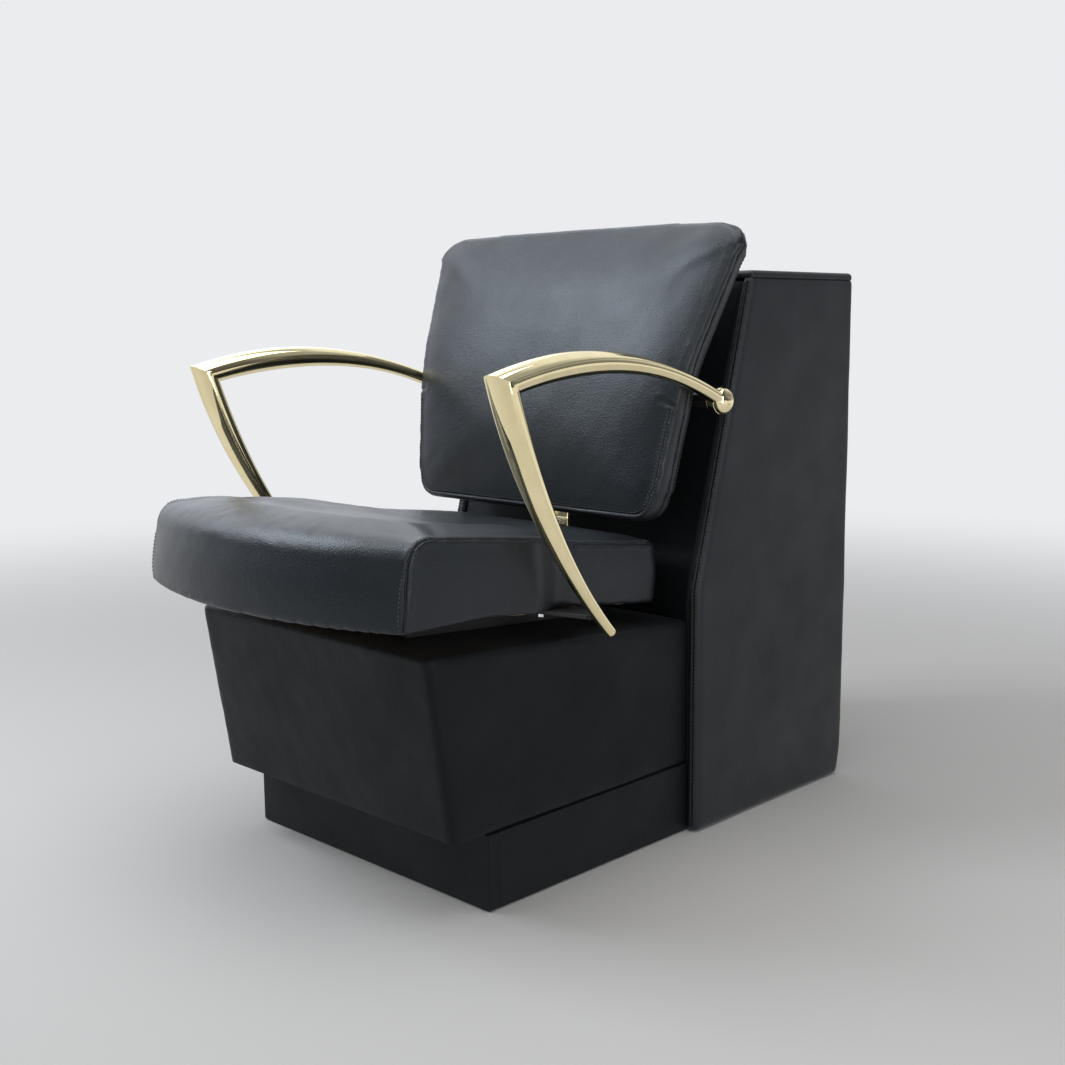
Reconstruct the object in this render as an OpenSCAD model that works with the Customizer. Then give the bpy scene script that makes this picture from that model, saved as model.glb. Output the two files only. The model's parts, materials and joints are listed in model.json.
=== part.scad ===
// Salon dryer chair: an upholstered base, a tall dryer box behind the back,
// a padded seat and back, and a pair of bent and tapered tube arms.
// The front faces -Y, the floor is at zero and the origin is under the middle.

/* [Overall] */
// Space between the rear of the seat and the front of the dryer box
seat_gap = 39; // [34:1:60]
// Height of the glides that the plinth and the dryer box stand on
glide_h = 2; // [1.5:0.5:5]
// Diameter of each glide
glide_d = 16; // [12:1:18]

/* [Dryer box] */
// Height of the dryer box over the floor
box_h = 870; // [820:5:940]
// Width of the dryer box
box_w = 568; // [540:2:620]
// Depth of the dryer box at the floor
box_foot_d = 417; // [390:1:440]
// Depth of the dryer box at its top
box_top_d = 285; // [250:1:340]
// Height at which the front of the box starts to lean back
box_knee_h = 386; // [360:1:430]
// Thickness of a padded side panel
side_t = 20; // [16:1:26]
// Radius of the padded roll along the front edge of a side panel
side_roll_r = 9; // [5:1:14]
// Radius of the outer rear edge of a side panel
side_rear_r = 5; // [3:1:9]
// Height over which the rear edge draws in towards the floor
heel_h = 84; // [60:1:110]
// How far the rear edge draws in at the floor
heel_in = 12; // [6:1:18]
// Thickness of the padded top panel
box_top_t = 10; // [8:1:16]
// Radius of the corners of the top panel
box_top_r = 7; // [4:1:12]
// Thickness of the front panels of the box
box_front_t = 15; // [10:1:20]
// How far the front panels lie behind the padded rolls
box_front_inset = 4; // [2:0.5:8]
// Thickness of the rear panel
box_rear_t = 9; // [6:1:12]
// How far the rear panel lies inside the side panels
box_rear_inset = 3; // [1:0.5:8]
// Thickness of the floor board of the box
box_floor_t = 12; // [9:1:18]
// Side of the square battens that the panels are screwed to
batten_w = 22; // [18:1:30]
// Width of the bolt pattern on the top, which takes the foot of a dryer hood
hood_bolt_x = 160; // [120:2:220]
// Depth of that bolt pattern
hood_bolt_y = 100; // [80:2:140]
// Diameter of the holes of that bolt pattern
hood_hole_d = 9; // [7:0.5:11]
// Thickness of the board under the top panel that carries the hood
hood_board_t = 18; // [15:1:24]
// Head diameter of the rear panel screws
rear_screw_d = 9; // [7:0.5:12]
// Number of screws up each side of the rear panel
rear_screw_count = 4; // [3:1:6]

/* [Base] */
// How far each side of the base lies inside the side panel of the dryer box
base_side_in = 0; // [0:1:12]
// Depth of the base at its top, from its front to the dryer box
base_d = 530; // [500:2:560]
// How far the top of the base lies below the underside of the seat at its front
base_front_low = 50.7; // [40:0.1:75]
// How far the top of the base lies below the underside of the seat at the dryer box
base_rear_low = 24.4; // [10:0.1:40]
// How far the foot of the front panel lies behind its top
base_front_lean = 41; // [20:1:60]
// Thickness of the padded base panels
base_panel_t = 22; // [18:1:28]
// Radius of the two front corners of the base
base_corner_r = 12; // [8:1:30]
// Radius of the long upper edges of the base
base_edge_r = 12; // [6:1:20]
// Height of the toe plinth over the floor
plinth_h = 110; // [90:1:130]
// How far the plinth lies behind the foot of the front panel
plinth_setback = 63; // [40:1:90]
// How far the plinth lies inside each side of the base
plinth_side_in = 1; // [1:0.5:10]
// Thickness of the plinth boards
plinth_t = 18; // [15:1:22]

/* [Seat] */
// Width of the seat at its front bolster
seat_w = 580; // [540:2:600]
// Width of the seat behind the arm posts
seat_rear_w = 490; // [460:2:530]
// Length of the seat
seat_d = 614; // [580:2:640]
// How far the middle of the front edge bows out past its corners
seat_bow = 60; // [30:1:90]
// Distance from the rear of the seat to the narrow end of the side scoop
scoop_rear = 222; // [180:1:260]
// Length of the scoop in each side of the seat
scoop_len = 104; // [70:1:140]
// Height of the underside of the seat board at the rear of the seat
seat_low_h = 368; // [355:1:385]
// Angle at which the seat board rises to the front
seat_rake = 6.7; // [3:0.1:10]
// Thickness of the seat board
seat_board_t = 15; // [12:1:18]
// Distance from the edge of the seat to the edge of the seat board
seat_board_in = 14; // [10:1:24]
// Height of the side seam over the seat board underside at the rear
seat_rear_t = 95; // [80:1:105]
// Height of the side seam over the seat board underside at the front
seat_front_t = 106; // [90:1:120]
// Height of the lower edge of the front of the seat over its underside at its rear
seat_front_low_up = 47; // [37:1:57]
// Radius of the front corners of the seat, seen from above
seat_corner_r = 18; // [12:1:40]
// How far the front face of the seat leans back towards its top
seat_face_lean = 12; // [0:1:20]
// Radius of the top edge along the front of the seat
seat_nose_r = 42; // [20:1:50]
// Radius of the side seam of the seat
seam_r = 7; // [4:0.5:12]
// Radius of the lower edge of the seat
seat_low_r = 6; // [4:0.5:10]
// Bulge of the side band of the seat
seat_bulge = 3; // [0:0.5:6]
// Height of the soft roll round the edge of the seat
seat_roll_h = 9; // [5:1:16]
// Width of each wedge rail between the seat board and the base
riser_w = 44; // [30:1:60]
// Depth of the hollow in the middle of the seat
seat_hollow = 4; // [0:1:12]

/* [Back] */
// Height of the lower edge of the back over the underside of the seat at its rear
back_low_up = 130; // [112:1:150]
// Height of the bend in the back above its lower edge
back_bend_up = 217; // [190:1:245]
// Height of the upper edge of the back at its middle above the bend
back_top_up = 227; // [200:1:255]
// Distance of the lower end of the back's face in front of the rear of the seat
back_low_in = 40.3; // [30:0.1:60]
// Lean of the back below its bend
back_lean_low = 10; // [6:0.5:14]
// Lean of the back above its bend
back_lean_top = 24; // [18:0.5:30]
// Length of the curve at the bend
back_bend_len = 90; // [50:5:140]
// Width of the back at its lower edge
back_low_w = 524; // [500:2:560]
// Width of the back at its bend
back_mid_w = 580; // [550:2:600]
// Width of the back at its upper edge
back_top_w = 658; // [620:2:670]
// Drop of the upper edge from its middle to its corners
back_arch = 8; // [0:1:26]
// Thickness of the edge of the back at its lower edge
back_low_t = 28; // [22:1:34]
// Thickness of the edge of the back at its upper edge
back_top_t = 18; // [14:1:24]
// Radius of the corners of the back
back_corner_r = 36; // [24:1:60]
// Radius of the front seam of the back
back_seam_r = 6; // [3:0.5:10]
// Crown of the front face over its edge
back_crown = 24; // [10:1:34]
// How far the sides of the back come forward of its middle
back_wing = 9; // [0:1:28]
// Distance from the edge of the back to the edge of its board
back_board_in = 24; // [16:1:34]
// Distance from the edge of the back to the edge of its rear cover
rear_cover_in = 3; // [1:0.5:8]
// Thickness of the back board
back_board_t = 10; // [8:1:14]
// Thickness of the padded rear cover at its middle
back_rear_t = 12; // [8:1:16]

/* [Arms] */
// Distance of the middle of the boss below the bend of the back
boss_drop = 40; // [25:1:70]
// Distance of the middle of the boss behind the middle of the back's upright
boss_behind = 18.9; // [16:0.1:30]
// Distance from the middle of the chair to the centre of the boss
boss_x = 304; // [300:1:318]
// Diameter of the boss
boss_d = 40; // [34:1:46]
// Length of the boss
boss_len = 30; // [24:1:38]
// Height of the mitred corner of each arm over the underside of the seat at its rear
corner_up = 349; // [330:1:370]
// Distance from the front of the chair to the front corner of an arm
corner_y = 193; // [175:1:215]
// Rise of the arched top tube over its chord
arm_rise = 41; // [20:1:56]
// Height of the tip of the post over the underside of the seat at its rear
tip_up = 2; // [-10:1:15]
// Distance from the front of the chair to the tip of the post
tip_y = 409; // [390:1:430]
// Bow of the post ahead of its chord
post_bow = 25; // [10:1:40]
// Angle at which the arms open out to the front
arm_splay = 3.3; // [0:0.1:6]
// Height of the arm tube at its front corner
arm_front_t = 36; // [30:1:42]
// Width of the arm tube at its front corner
arm_front_w = 43; // [34:1:50]
// Height of the arm tube at the boss
arm_rear_t = 21; // [16:1:28]
// Width of the arm tube at the boss
arm_rear_w = 23; // [18:1:28]
// Thickness of the post at its tip
tip_t = 15; // [11:1:20]
// Thickness of the strap that holds the post under the seat
strap_t = 6; // [4:0.5:8]
// Length of the strap plate along the seat
strap_len = 84; // [70:1:100]
// Width of the tongue of the strap at the post
tongue_w = 26; // [20:1:34]
// Thread diameter of the strap bolts
strap_bolt_d = 8; // [6:1:10]
// Distance between the two bolts of a strap
strap_bolt_gap = 40; // [30:1:50]

/* [Back frame] */
// Width of the flat upright that carries the back
upright_w = 78; // [60:1:90]
// Thickness of the upright
upright_t = 8; // [6:0.5:10]
// Inner radius of the bend in the upright
upright_bend_r = 10; // [8:1:20]
// Length of the leg of the upright under the seat
upright_leg = 190; // [140:2:240]
// Diameter of the cross tube between the arms
cross_d = 22; // [18:1:26]
// Wall of the cross tube
cross_wall = 2.5; // [1.5:0.5:4]
// Thread diameter of the bolts of the back frame
frame_bolt_d = 8; // [6:1:10]

/* [Hidden] */
$fa = 5;
$fs = 1.2;
over = 1;
gap = 0.3;
slip = 0.15;
// Depth from the front of the seat to the back of the dryer box
chair_d = seat_d + seat_gap + box_foot_d;
seat_front_low_h = seat_low_h + seat_front_low_up;
back_low_h = seat_low_h + back_low_up;
back_bend_h = back_low_h + back_bend_up;
back_top_h = back_bend_h + back_top_up;
corner_h = seat_low_h + corner_up;
tip_h = seat_low_h + tip_up;
front_y = -chair_d / 2;
rear_y = chair_d / 2;
vinyl = [0.11, 0.12, 0.125];
vinyl_dark = [0.08, 0.085, 0.09];
ply = [0.55, 0.43, 0.30];
painted = [0.06, 0.06, 0.065];
gold = [0.83, 0.74, 0.50];
chrome = [0.80, 0.81, 0.83];
nylon = [0.14, 0.14, 0.14];

// Points of an arc about c, from angle a0 to angle a1, in n steps
function arc(c, r, a0, a1, n = 8) =
    [for (i = [0:n]) let (a = a0 + (a1 - a0) * i / n) c + r * [cos(a), sin(a)]];
// Share of a smooth step at t
function smooth(t) = let (u = min(1, max(0, t))) u * u * (3 - 2 * u);
// A value between a and b at share t
function mix(a, b, t) = a + (b - a) * t;
// The vector v at unit length
function unit(v) = v / norm(v);
// Outward directions at the points of an anticlockwise outline
function outline_normals(pts) = let (n = len(pts))
    [for (i = [0:n - 1]) let (d = unit(pts[(i + 1) % n] - pts[(i + n - 1) % n])) [d[1], -d[0]]];

// A plate of outline pts in the y-z plane, t thick, centred on x
module slab_x(pts, t, x = 0) {
    translate([x - t / 2, 0, 0])
        rotate([90, 0, 90])
            linear_extrude(t)
                polygon(pts);
}

// Dryer box
box_front_y = rear_y - box_foot_d;
box_top_y = rear_y - box_top_d;
box_side_top = box_h - box_top_t;
box_lean = atan((box_top_y - box_front_y) / (box_h - box_knee_h));
box_inner_w = box_w - 2 * side_t;
heel_r = (pow(heel_h, 2) + pow(heel_in, 2)) / (2 * heel_in);
heel_a = asin(heel_h / heel_r);
// Place of the box front at height h
function box_face_y(h) = box_front_y + max(0, h - box_knee_h) * tan(box_lean);
// Outline of a side panel, seen from the side
side_outline = concat(
    [[box_front_y, glide_h], [rear_y - heel_in, glide_h]],
    arc([rear_y - heel_r, glide_h + heel_h], heel_r, -heel_a, 0, 8),
    [[rear_y, box_side_top], [box_face_y(box_side_top), box_side_top],
     [box_front_y, box_knee_h]]);

// Plan of the right side panel, with its outer corners rounded at the front and the rear
function side_plan(front, rear, rear_r) = concat(
    [[box_inner_w / 2, rear], [box_inner_w / 2, front]],
    arc([box_w / 2 - side_roll_r, front + side_roll_r], side_roll_r, -90, 0, 6),
    rear_r > 0 ? arc([box_w / 2 - rear_r, rear - rear_r], rear_r, 0, 90, 4) : [[box_w / 2, rear]]);

// The padded side panel on the right, with a rolled front edge along both slopes
module box_side() {
    reach = box_h + box_foot_d;
    intersection() {
        slab_x(side_outline, side_t, (box_w - side_t) / 2);
        linear_extrude(box_h)
            polygon(side_plan(box_front_y, rear_y, side_rear_r));
        translate([0, box_front_y, box_knee_h])
            rotate([-box_lean, 0, 0])
                translate([0, -box_front_y, -reach])
                    linear_extrude(2 * reach)
                        polygon(side_plan(box_front_y, rear_y + reach, 0));
    }
}

module box_right_side() {
    color(vinyl) box_side();
}

module box_left_side() {
    color(vinyl) mirror([1, 0, 0]) box_side();
}

// Places of the holes for the foot of a hood
hood_y = rear_y - box_top_d / 2;
hood_places = [for (sx = [-1, 1], sy = [-1, 1]) [sx * hood_bolt_x / 2, hood_y + sy * hood_bolt_y / 2]];

module hood_holes(z0, z1) {
    for (p = hood_places)
        translate([p[0], p[1], z0])
            cylinder(d = hood_hole_d, h = z1 - z0);
}

// The padded top panel lies over both side panels
module box_top() {
    y0 = box_face_y(box_side_top);
    outline = concat(
        [[y0, box_side_top], [rear_y, box_side_top]],
        arc([rear_y - box_top_r, box_h - box_top_r], box_top_r, 0, 90, 6),
        arc([y0 + box_top_r, box_h - box_top_r], box_top_r, 90, 180, 6));
    color(vinyl)
        difference() {
            intersection() {
                slab_x(outline, box_w);
                translate([0, rear_y, 0])
                    rotate([90, 0, 0])
                        linear_extrude(box_top_d + box_top_r)
                            polygon(concat(
                                [[-box_w / 2, 0], [box_w / 2, 0]],
                                arc([box_w / 2 - box_top_r, box_h - box_top_r], box_top_r, 0, 90, 6),
                                arc([box_top_r - box_w / 2, box_h - box_top_r], box_top_r, 90, 180, 6)));
            }
            hood_holes(box_side_top - over, box_h + over);
        }
}

// Board under the top panel that carries the foot of a hood
module hood_board() {
    deep = hood_bolt_y + 3 * hood_board_t;
    color(ply)
        difference() {
            translate([-box_inner_w / 2, hood_y - deep / 2, box_side_top - hood_board_t])
                cube([box_inner_w, deep, hood_board_t]);
            hood_holes(box_side_top - hood_board_t - over, box_side_top + over);
        }
}

// Flange thickness as a share of the board, flange width and bore as shares of the hole
nut_flange_share = 0.1;
nut_head_share = 2.4;
nut_bore_share = 0.7;

// Flanged nuts under the board, one for each hole
module hood_nuts() {
    flange_t = hood_board_t * nut_flange_share;
    z0 = box_side_top - hood_board_t - flange_t;
    color(chrome)
        difference() {
            for (p = hood_places)
                translate([p[0], p[1], z0]) {
                    cylinder(d = hood_hole_d * nut_head_share, h = flange_t);
                    cylinder(d = hood_hole_d - 2 * slip, h = flange_t + hood_board_t / 2);
                }
            for (p = hood_places)
                translate([p[0], p[1], z0 - over])
                    cylinder(d = hood_hole_d * nut_bore_share, h = flange_t + hood_board_t / 2 + 2 * over);
        }
}

front_skin_y = box_front_y + box_front_inset;
front_deep = box_front_t / cos(box_lean);
inset_lean = box_front_inset / cos(box_lean);
knee_in_h = box_knee_h;

// The upright front panel of the box, below the bend
module box_front_lower() {
    color(vinyl_dark)
        slab_x([
            [front_skin_y, glide_h], [front_skin_y + box_front_t, glide_h],
            [front_skin_y + box_front_t, knee_in_h], [front_skin_y, knee_in_h]],
            box_inner_w);
}

// The front panel of the box that leans back
module box_front_upper() {
    y0 = box_face_y(knee_in_h) + inset_lean;
    y1 = box_face_y(box_side_top) + inset_lean;
    color(vinyl_dark)
        slab_x([
            [y0, knee_in_h], [y0 + front_deep, knee_in_h],
            [y1 + front_deep, box_side_top], [y1, box_side_top]],
            box_inner_w);
}

rear_skin_y = rear_y - box_rear_inset;

// Places of the screws on the rear panel
rear_screw_x = box_inner_w / 2 - batten_w / 2;
rear_screw_z = [for (i = [0:rear_screw_count - 1])
    mix(glide_h + heel_h + batten_w, box_side_top - batten_w / 2, i / (rear_screw_count - 1))];

// The rear panel comes off to reach the inside of the box
module box_rear_panel() {
    color(painted)
        difference() {
            slab_x([
                [rear_skin_y - box_rear_t, glide_h + heel_h], [rear_skin_y, glide_h + heel_h],
                [rear_skin_y, box_side_top], [rear_skin_y - box_rear_t, box_side_top]],
                box_inner_w);
            for (sx = [-1, 1], z = rear_screw_z)
                translate([sx * rear_screw_x, rear_skin_y + over, z])
                    rotate([90, 0, 0])
                        cylinder(d = rear_screw_d / 2 + 2 * slip, h = box_rear_t + 2 * over);
        }
}

// Foot rail under the rear panel, behind the drawn-in heel
module box_heel_rail() {
    y1 = rear_y - heel_in - box_rear_inset;
    color(vinyl_dark)
        slab_x([
            [y1 - box_floor_t, glide_h], [y1, glide_h],
            [y1, glide_h + heel_h], [y1 - box_floor_t, glide_h + heel_h]],
            box_inner_w);
}

// Domed screws that hold the rear panel to its battens
module box_rear_screws() {
    head_h = rear_screw_d / 3;
    color(chrome)
        for (sx = [-1, 1], z = rear_screw_z)
            translate([sx * rear_screw_x, rear_skin_y, z])
                rotate([90, 0, 0]) {
                    cylinder(d = rear_screw_d / 2, h = box_rear_t + batten_w / 2);
                    translate([0, 0, -head_h])
                        rotate_extrude()
                            polygon(concat([[0, 0]],
                                arc([rear_screw_d / 2 - head_h, head_h], head_h, -90, 0, 6),
                                [[0, head_h]]));
                }
}

// Floor board of the box, between the front panel and the heel rail
module box_floor() {
    y0 = front_skin_y + box_front_t;
    y1 = rear_y - heel_in - box_rear_inset - box_floor_t;
    color(ply)
        slab_x([
            [y0, glide_h], [y1, glide_h],
            [y1, glide_h + box_floor_t], [y0, glide_h + box_floor_t]],
            box_inner_w);
}

// Square battens in the corners of the box: two at the rear, one under the front of the top
module box_battens() {
    y_rear = rear_skin_y - box_rear_t;
    y_front = box_face_y(box_side_top) + inset_lean + front_deep;
    z0 = glide_h + heel_h;
    color(ply) {
        difference() {
            for (sx = [-1, 1])
                slab_x([
                    [y_rear - batten_w, z0], [y_rear, z0],
                    [y_rear, box_side_top], [y_rear - batten_w, box_side_top]],
                    batten_w, sx * (box_inner_w - batten_w) / 2);
            for (sx = [-1, 1], z = rear_screw_z)
                translate([sx * rear_screw_x, y_rear + over, z])
                    rotate([90, 0, 0])
                        cylinder(d = rear_screw_d / 2 + 2 * slip, h = batten_w / 2 + over + slip);
        }
        slab_x([
            [y_front - batten_w * tan(box_lean), box_side_top - batten_w],
            [y_front + batten_w, box_side_top - batten_w],
            [y_front + batten_w, box_side_top], [y_front, box_side_top]],
            box_inner_w);
    }
}

// Underside of the seat
seat_rear_y = front_y + seat_d;
seat_slope = tan(seat_rake);
// Height of the underside of the seat board at y
function board_low(y) = seat_low_h + (seat_rear_y - y) * seat_slope;

// Base
base_w = box_inner_w - 2 * base_side_in;
base_end_y = box_front_y + box_front_inset;
base_front_y = box_front_y - base_d;
base_foot_y = base_front_y + base_front_lean;
base_front_h = board_low(base_front_y) - base_front_low;
base_rear_h = board_low(box_front_y) - base_rear_low;
base_slope = atan((base_front_h - base_rear_h) / base_d);
base_lean = atan(base_front_lean / (base_front_h - plinth_h));
// Height of the top of the base at y
function base_top(y) = base_rear_h + (box_front_y - y) * tan(base_slope);

// The whole upholstered base as one rounded form
module base_form() {
    reach = base_d + base_front_h;
    intersection() {
        slab_x([
            [base_foot_y, plinth_h], [base_end_y, plinth_h],
            [base_end_y, base_top(base_end_y)], [base_front_y, base_front_h]],
            base_w);
        translate([0, base_foot_y, plinth_h])
            rotate([base_lean, 0, 0])
                translate([0, 0, -reach / 2])
                    linear_extrude(reach)
                        polygon(concat(
                            arc([base_corner_r - base_w / 2, base_corner_r], base_corner_r, 180, 270, 6),
                            arc([base_w / 2 - base_corner_r, base_corner_r], base_corner_r, -90, 0, 6),
                            [[base_w / 2, reach], [-base_w / 2, reach]]));
        translate([0, box_front_y, base_rear_h])
            rotate([90 - base_slope, 0, 0])
                translate([0, 0, -reach / 2])
                    linear_extrude(2 * reach)
                        polygon(concat(
                            arc([base_w / 2 - base_edge_r, -base_edge_r], base_edge_r, 0, 90, 6),
                            arc([base_edge_r - base_w / 2, -base_edge_r], base_edge_r, 90, 180, 6),
                            [[-base_w / 2, -base_front_h], [base_w / 2, -base_front_h]]));
    }
}

base_split = base_panel_t / cos(base_lean);

// The region of the front panel, which takes both rounded corners
module front_zone() {
    far = base_panel_t + base_corner_r;
    slab_x([
        [base_foot_y - far, plinth_h - over], [base_foot_y + base_split, plinth_h - over],
        [base_front_y + base_split, base_front_h + over],
        [base_front_y - far, base_front_h + over]],
        base_w + 2 * over);
}

// The region of the top panel, between the two sides
module top_zone() {
    deep = base_panel_t / cos(base_slope);
    slab_x([
        [base_front_y, base_front_h - deep], [base_end_y, base_top(base_end_y) - deep],
        [base_end_y, base_front_h], [base_front_y, base_front_h + over]],
        base_w - 2 * base_panel_t);
}

module base_front() {
    color(vinyl_dark)
        intersection() {
            base_form();
            front_zone();
        }
}

module base_side(sx) {
    intersection() {
        difference() {
            base_form();
            front_zone();
        }
        translate([sx * (base_w - base_panel_t) / 2 - base_panel_t / 2, base_front_y, 0])
            cube([base_panel_t, base_end_y - base_front_y, base_front_h]);
    }
}

module base_right_side() {
    color(vinyl_dark) base_side(1);
}

module base_left_side() {
    color(vinyl_dark) base_side(-1);
}

module base_top_panel() {
    color(vinyl_dark)
        intersection() {
            difference() {
                base_form();
                front_zone();
            }
            top_zone();
        }
}

module base_floor() {
    color(ply)
        slab_x([
            [base_foot_y + base_split, plinth_h], [base_end_y, plinth_h],
            [base_end_y, plinth_h + plinth_t],
            [base_foot_y + base_split - plinth_t * tan(base_lean), plinth_h + plinth_t]],
            base_w - 2 * base_panel_t);
}

plinth_w = base_w - 2 * plinth_side_in;
plinth_y = base_foot_y + plinth_setback;

module plinth_front() {
    color(vinyl_dark)
        translate([-plinth_w / 2, plinth_y, glide_h])
            cube([plinth_w, plinth_t, plinth_h - glide_h]);
}

module plinth_side(sx) {
    translate([sx * (plinth_w - plinth_t) / 2 - plinth_t / 2, plinth_y + plinth_t, glide_h])
        cube([plinth_t, base_end_y - plinth_y - plinth_t, plinth_h - glide_h]);
}

module plinth_right_side() {
    color(vinyl_dark) plinth_side(1);
}

module plinth_left_side() {
    color(vinyl_dark) plinth_side(-1);
}

module plinth_rear() {
    color(ply)
        translate([plinth_t - plinth_w / 2, base_end_y - plinth_t, glide_h])
            cube([plinth_w - 2 * plinth_t, plinth_t, plinth_h - glide_h]);
}

// Places of the glides under the plinth boards and the box boards
glide_edge = glide_d / 2;
glide_places = concat(
    [for (sx = [-1, 1]) [sx * (plinth_w / 2 - 2 * glide_edge), plinth_y + plinth_t / 2]],
    [for (sx = [-1, 1]) [sx * (box_w / 2 - side_t / 2 - glide_edge), box_front_y + box_foot_d / 8]],
    [for (sx = [-1, 1]) [sx * (box_w / 2 - side_t / 2 - glide_edge), rear_y - heel_in - glide_d]]);

// Round nylon glides with a turned edge
module glides() {
    color(nylon)
        for (p = glide_places)
            translate([p[0], p[1], 0])
                rotate_extrude()
                    polygon([
                        [0, 0], [glide_edge - glide_h / 2, 0], [glide_edge, glide_h / 2],
                        [glide_edge, glide_h], [0, glide_h]]);
}

// Seat
// Share of the way from the rear of the seat to its front
function seat_share(y) = (seat_rear_y - y) / seat_d;
// Half width of the seat at y, with the scoop behind the front bolster
scoop_y = seat_rear_y - scoop_rear;
function seat_half(y) =
    mix(seat_w, seat_rear_w, smooth((y - scoop_y + scoop_len) / scoop_len)) / 2;
seat_rear_r = seat_rear_t / 3;
// The front is an arc that meets each side in a rounded corner
bow_r = (pow(seat_w / 2, 2) + pow(seat_bow, 2)) / (2 * seat_bow);
front_steps = 6;
corner_steps = 4;
scoop_steps = 6;
// Shares of the way from the front corner to the scoop, close together where the nose curves
side_step_shares = [0.06, 0.12, 0.2, 0.55];

// Right half of the seat plan with its front, sides and rear moved in, from the front middle round
// to the rear middle
function half_plan(front_in, side_in, rear_in) = let (
    hw = seat_w / 2 - side_in,
    c = bow_r - seat_corner_r,
    back = sqrt(pow(c, 2) - pow(hw - seat_corner_r, 2)),
    turn = atan((hw - seat_corner_r) / back),
    y0 = front_y + front_in,
    corner_y = y0 + bow_r - back,
    wide_y = scoop_y - scoop_len,
    end_y = seat_rear_y - rear_in,
    rw = seat_rear_w / 2 - side_in,
    r = seat_rear_r)
    concat(
        [for (i = [0:front_steps - 1]) let (a = turn * i / front_steps)
            [bow_r * sin(a), y0 + bow_r * (1 - cos(a))]],
        arc([hw - seat_corner_r, corner_y], seat_corner_r, turn - 90, 0, corner_steps),
        [for (s = side_step_shares) let (y = mix(corner_y, wide_y, s)) [seat_half(y) - side_in, y]],
        [for (i = [0:scoop_steps]) let (y = mix(wide_y, scoop_y, i / scoop_steps))
            [seat_half(y) - side_in, y]],
        [for (i = [1:3]) let (y = mix(scoop_y, end_y - r, i / 4)) [seat_half(y) - side_in, y]],
        arc([rw - r, end_y - r], r, 0, 90, 4),
        [for (i = [1:3]) [mix(rw - r, 0, i / 3), end_y]]);
// A half outline with its mirror image, anticlockwise seen from above
function whole(half) = concat(half, [for (i = [len(half) - 2:-1:1]) [-half[i][0], half[i][1]]]);
function seat_plan(front_in, side_in, rear_in) = whole(half_plan(front_in, side_in, rear_in));
seat_outline = seat_plan(0, 0, 0);
// Share by which each point of the outline belongs to the side band and not to the front
side_share_list = let (n = len(half_plan(0, 0, 0)), half = [for (i = [0:n - 1])
        min(1, max(0, (i - front_steps) / corner_steps))])
    concat(half, [for (i = [n - 2:-1:1]) half[i]]);

// Shares of the seat's length between which its side grows to its full height
rise_start_share = 0.3;
rise_len_share = 0.24;
// Height of the side seam at y
function seam_h(y) = board_low(y)
    + mix(seat_rear_t, seat_front_t, smooth((seat_share(y) - rise_start_share) / rise_len_share));
// Height of the lower edge of the cover at y
function cover_low(y) = min(board_low(y) + gap, seat_front_low_h);
// Height of the top without its crown: the nose carries round to the side seams
function seat_top(x, y) = let (
    face_y = front_y + bow_r - sqrt(pow(bow_r, 2) - pow(min(abs(x), seat_w / 2), 2)),
    left = max(0, seat_nose_r - max(0, y - face_y - seat_face_lean)))
    seam_h(y) - seat_nose_r + sqrt(pow(seat_nose_r, 2) - pow(left, 2));

// Shares of the outline kept by the rings across the top of the seat
seat_ring_shares = [0.95, 0.87, 0.76, 0.6, 0.4, 0.2];
// Shares of the roll height at those rings
seat_roll_shares = [0.62, 1, 0.86, 0.35, -0.2, -0.7];
seat_spine_y = (front_y + seat_rear_y) / 2;
function toward_spine(p, s) = [p[0] * s, mix(seat_spine_y, p[1], s)];

// A closed solid from stacked rings of equal length, with a fan at each end. Rings that turn
// clockwise, seen from the high tip, need their faces turned.
module ring_solid(rings, low_tip, high_tip, turned = false) {
    n = len(rings[0]);
    m = len(rings);
    pts = concat([for (r = rings) each r], [low_tip, high_tip]);
    faces = concat(
        [for (k = [0:m - 2], i = [0:n - 1]) let (j = (i + 1) % n)
            each [[k * n + i, (k + 1) * n + i, k * n + j], [k * n + j, (k + 1) * n + i, (k + 1) * n + j]]],
        [for (i = [0:n - 1]) [m * n, i, (i + 1) % n]],
        [for (i = [0:n - 1]) [m * n + 1, (m - 1) * n + (i + 1) % n, (m - 1) * n + i]]);
    polyhedron(pts, turned ? [for (f = faces) [f[0], f[2], f[1]]] : faces);
}

edge_angles = [0, 30, 60, 90];
// Shares of the side's height at the rings of its band
side_ring_shares = [0.3, 0.7];
pocket_in = seat_board_in - gap;
pocket_top = board_low(seat_spine_y) + seat_board_t + gap;
function lifted(pts, f) = [for (i = [0:len(pts) - 1]) [pts[i][0], pts[i][1], f(pts[i], i)]];
// Height of a point of the top edge, at angle a round the side seam
function edge_h(p, i, a) = seat_top(p[0], p[1]) - seam_r * (1 - sin(a)) * side_share_list[i];

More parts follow.
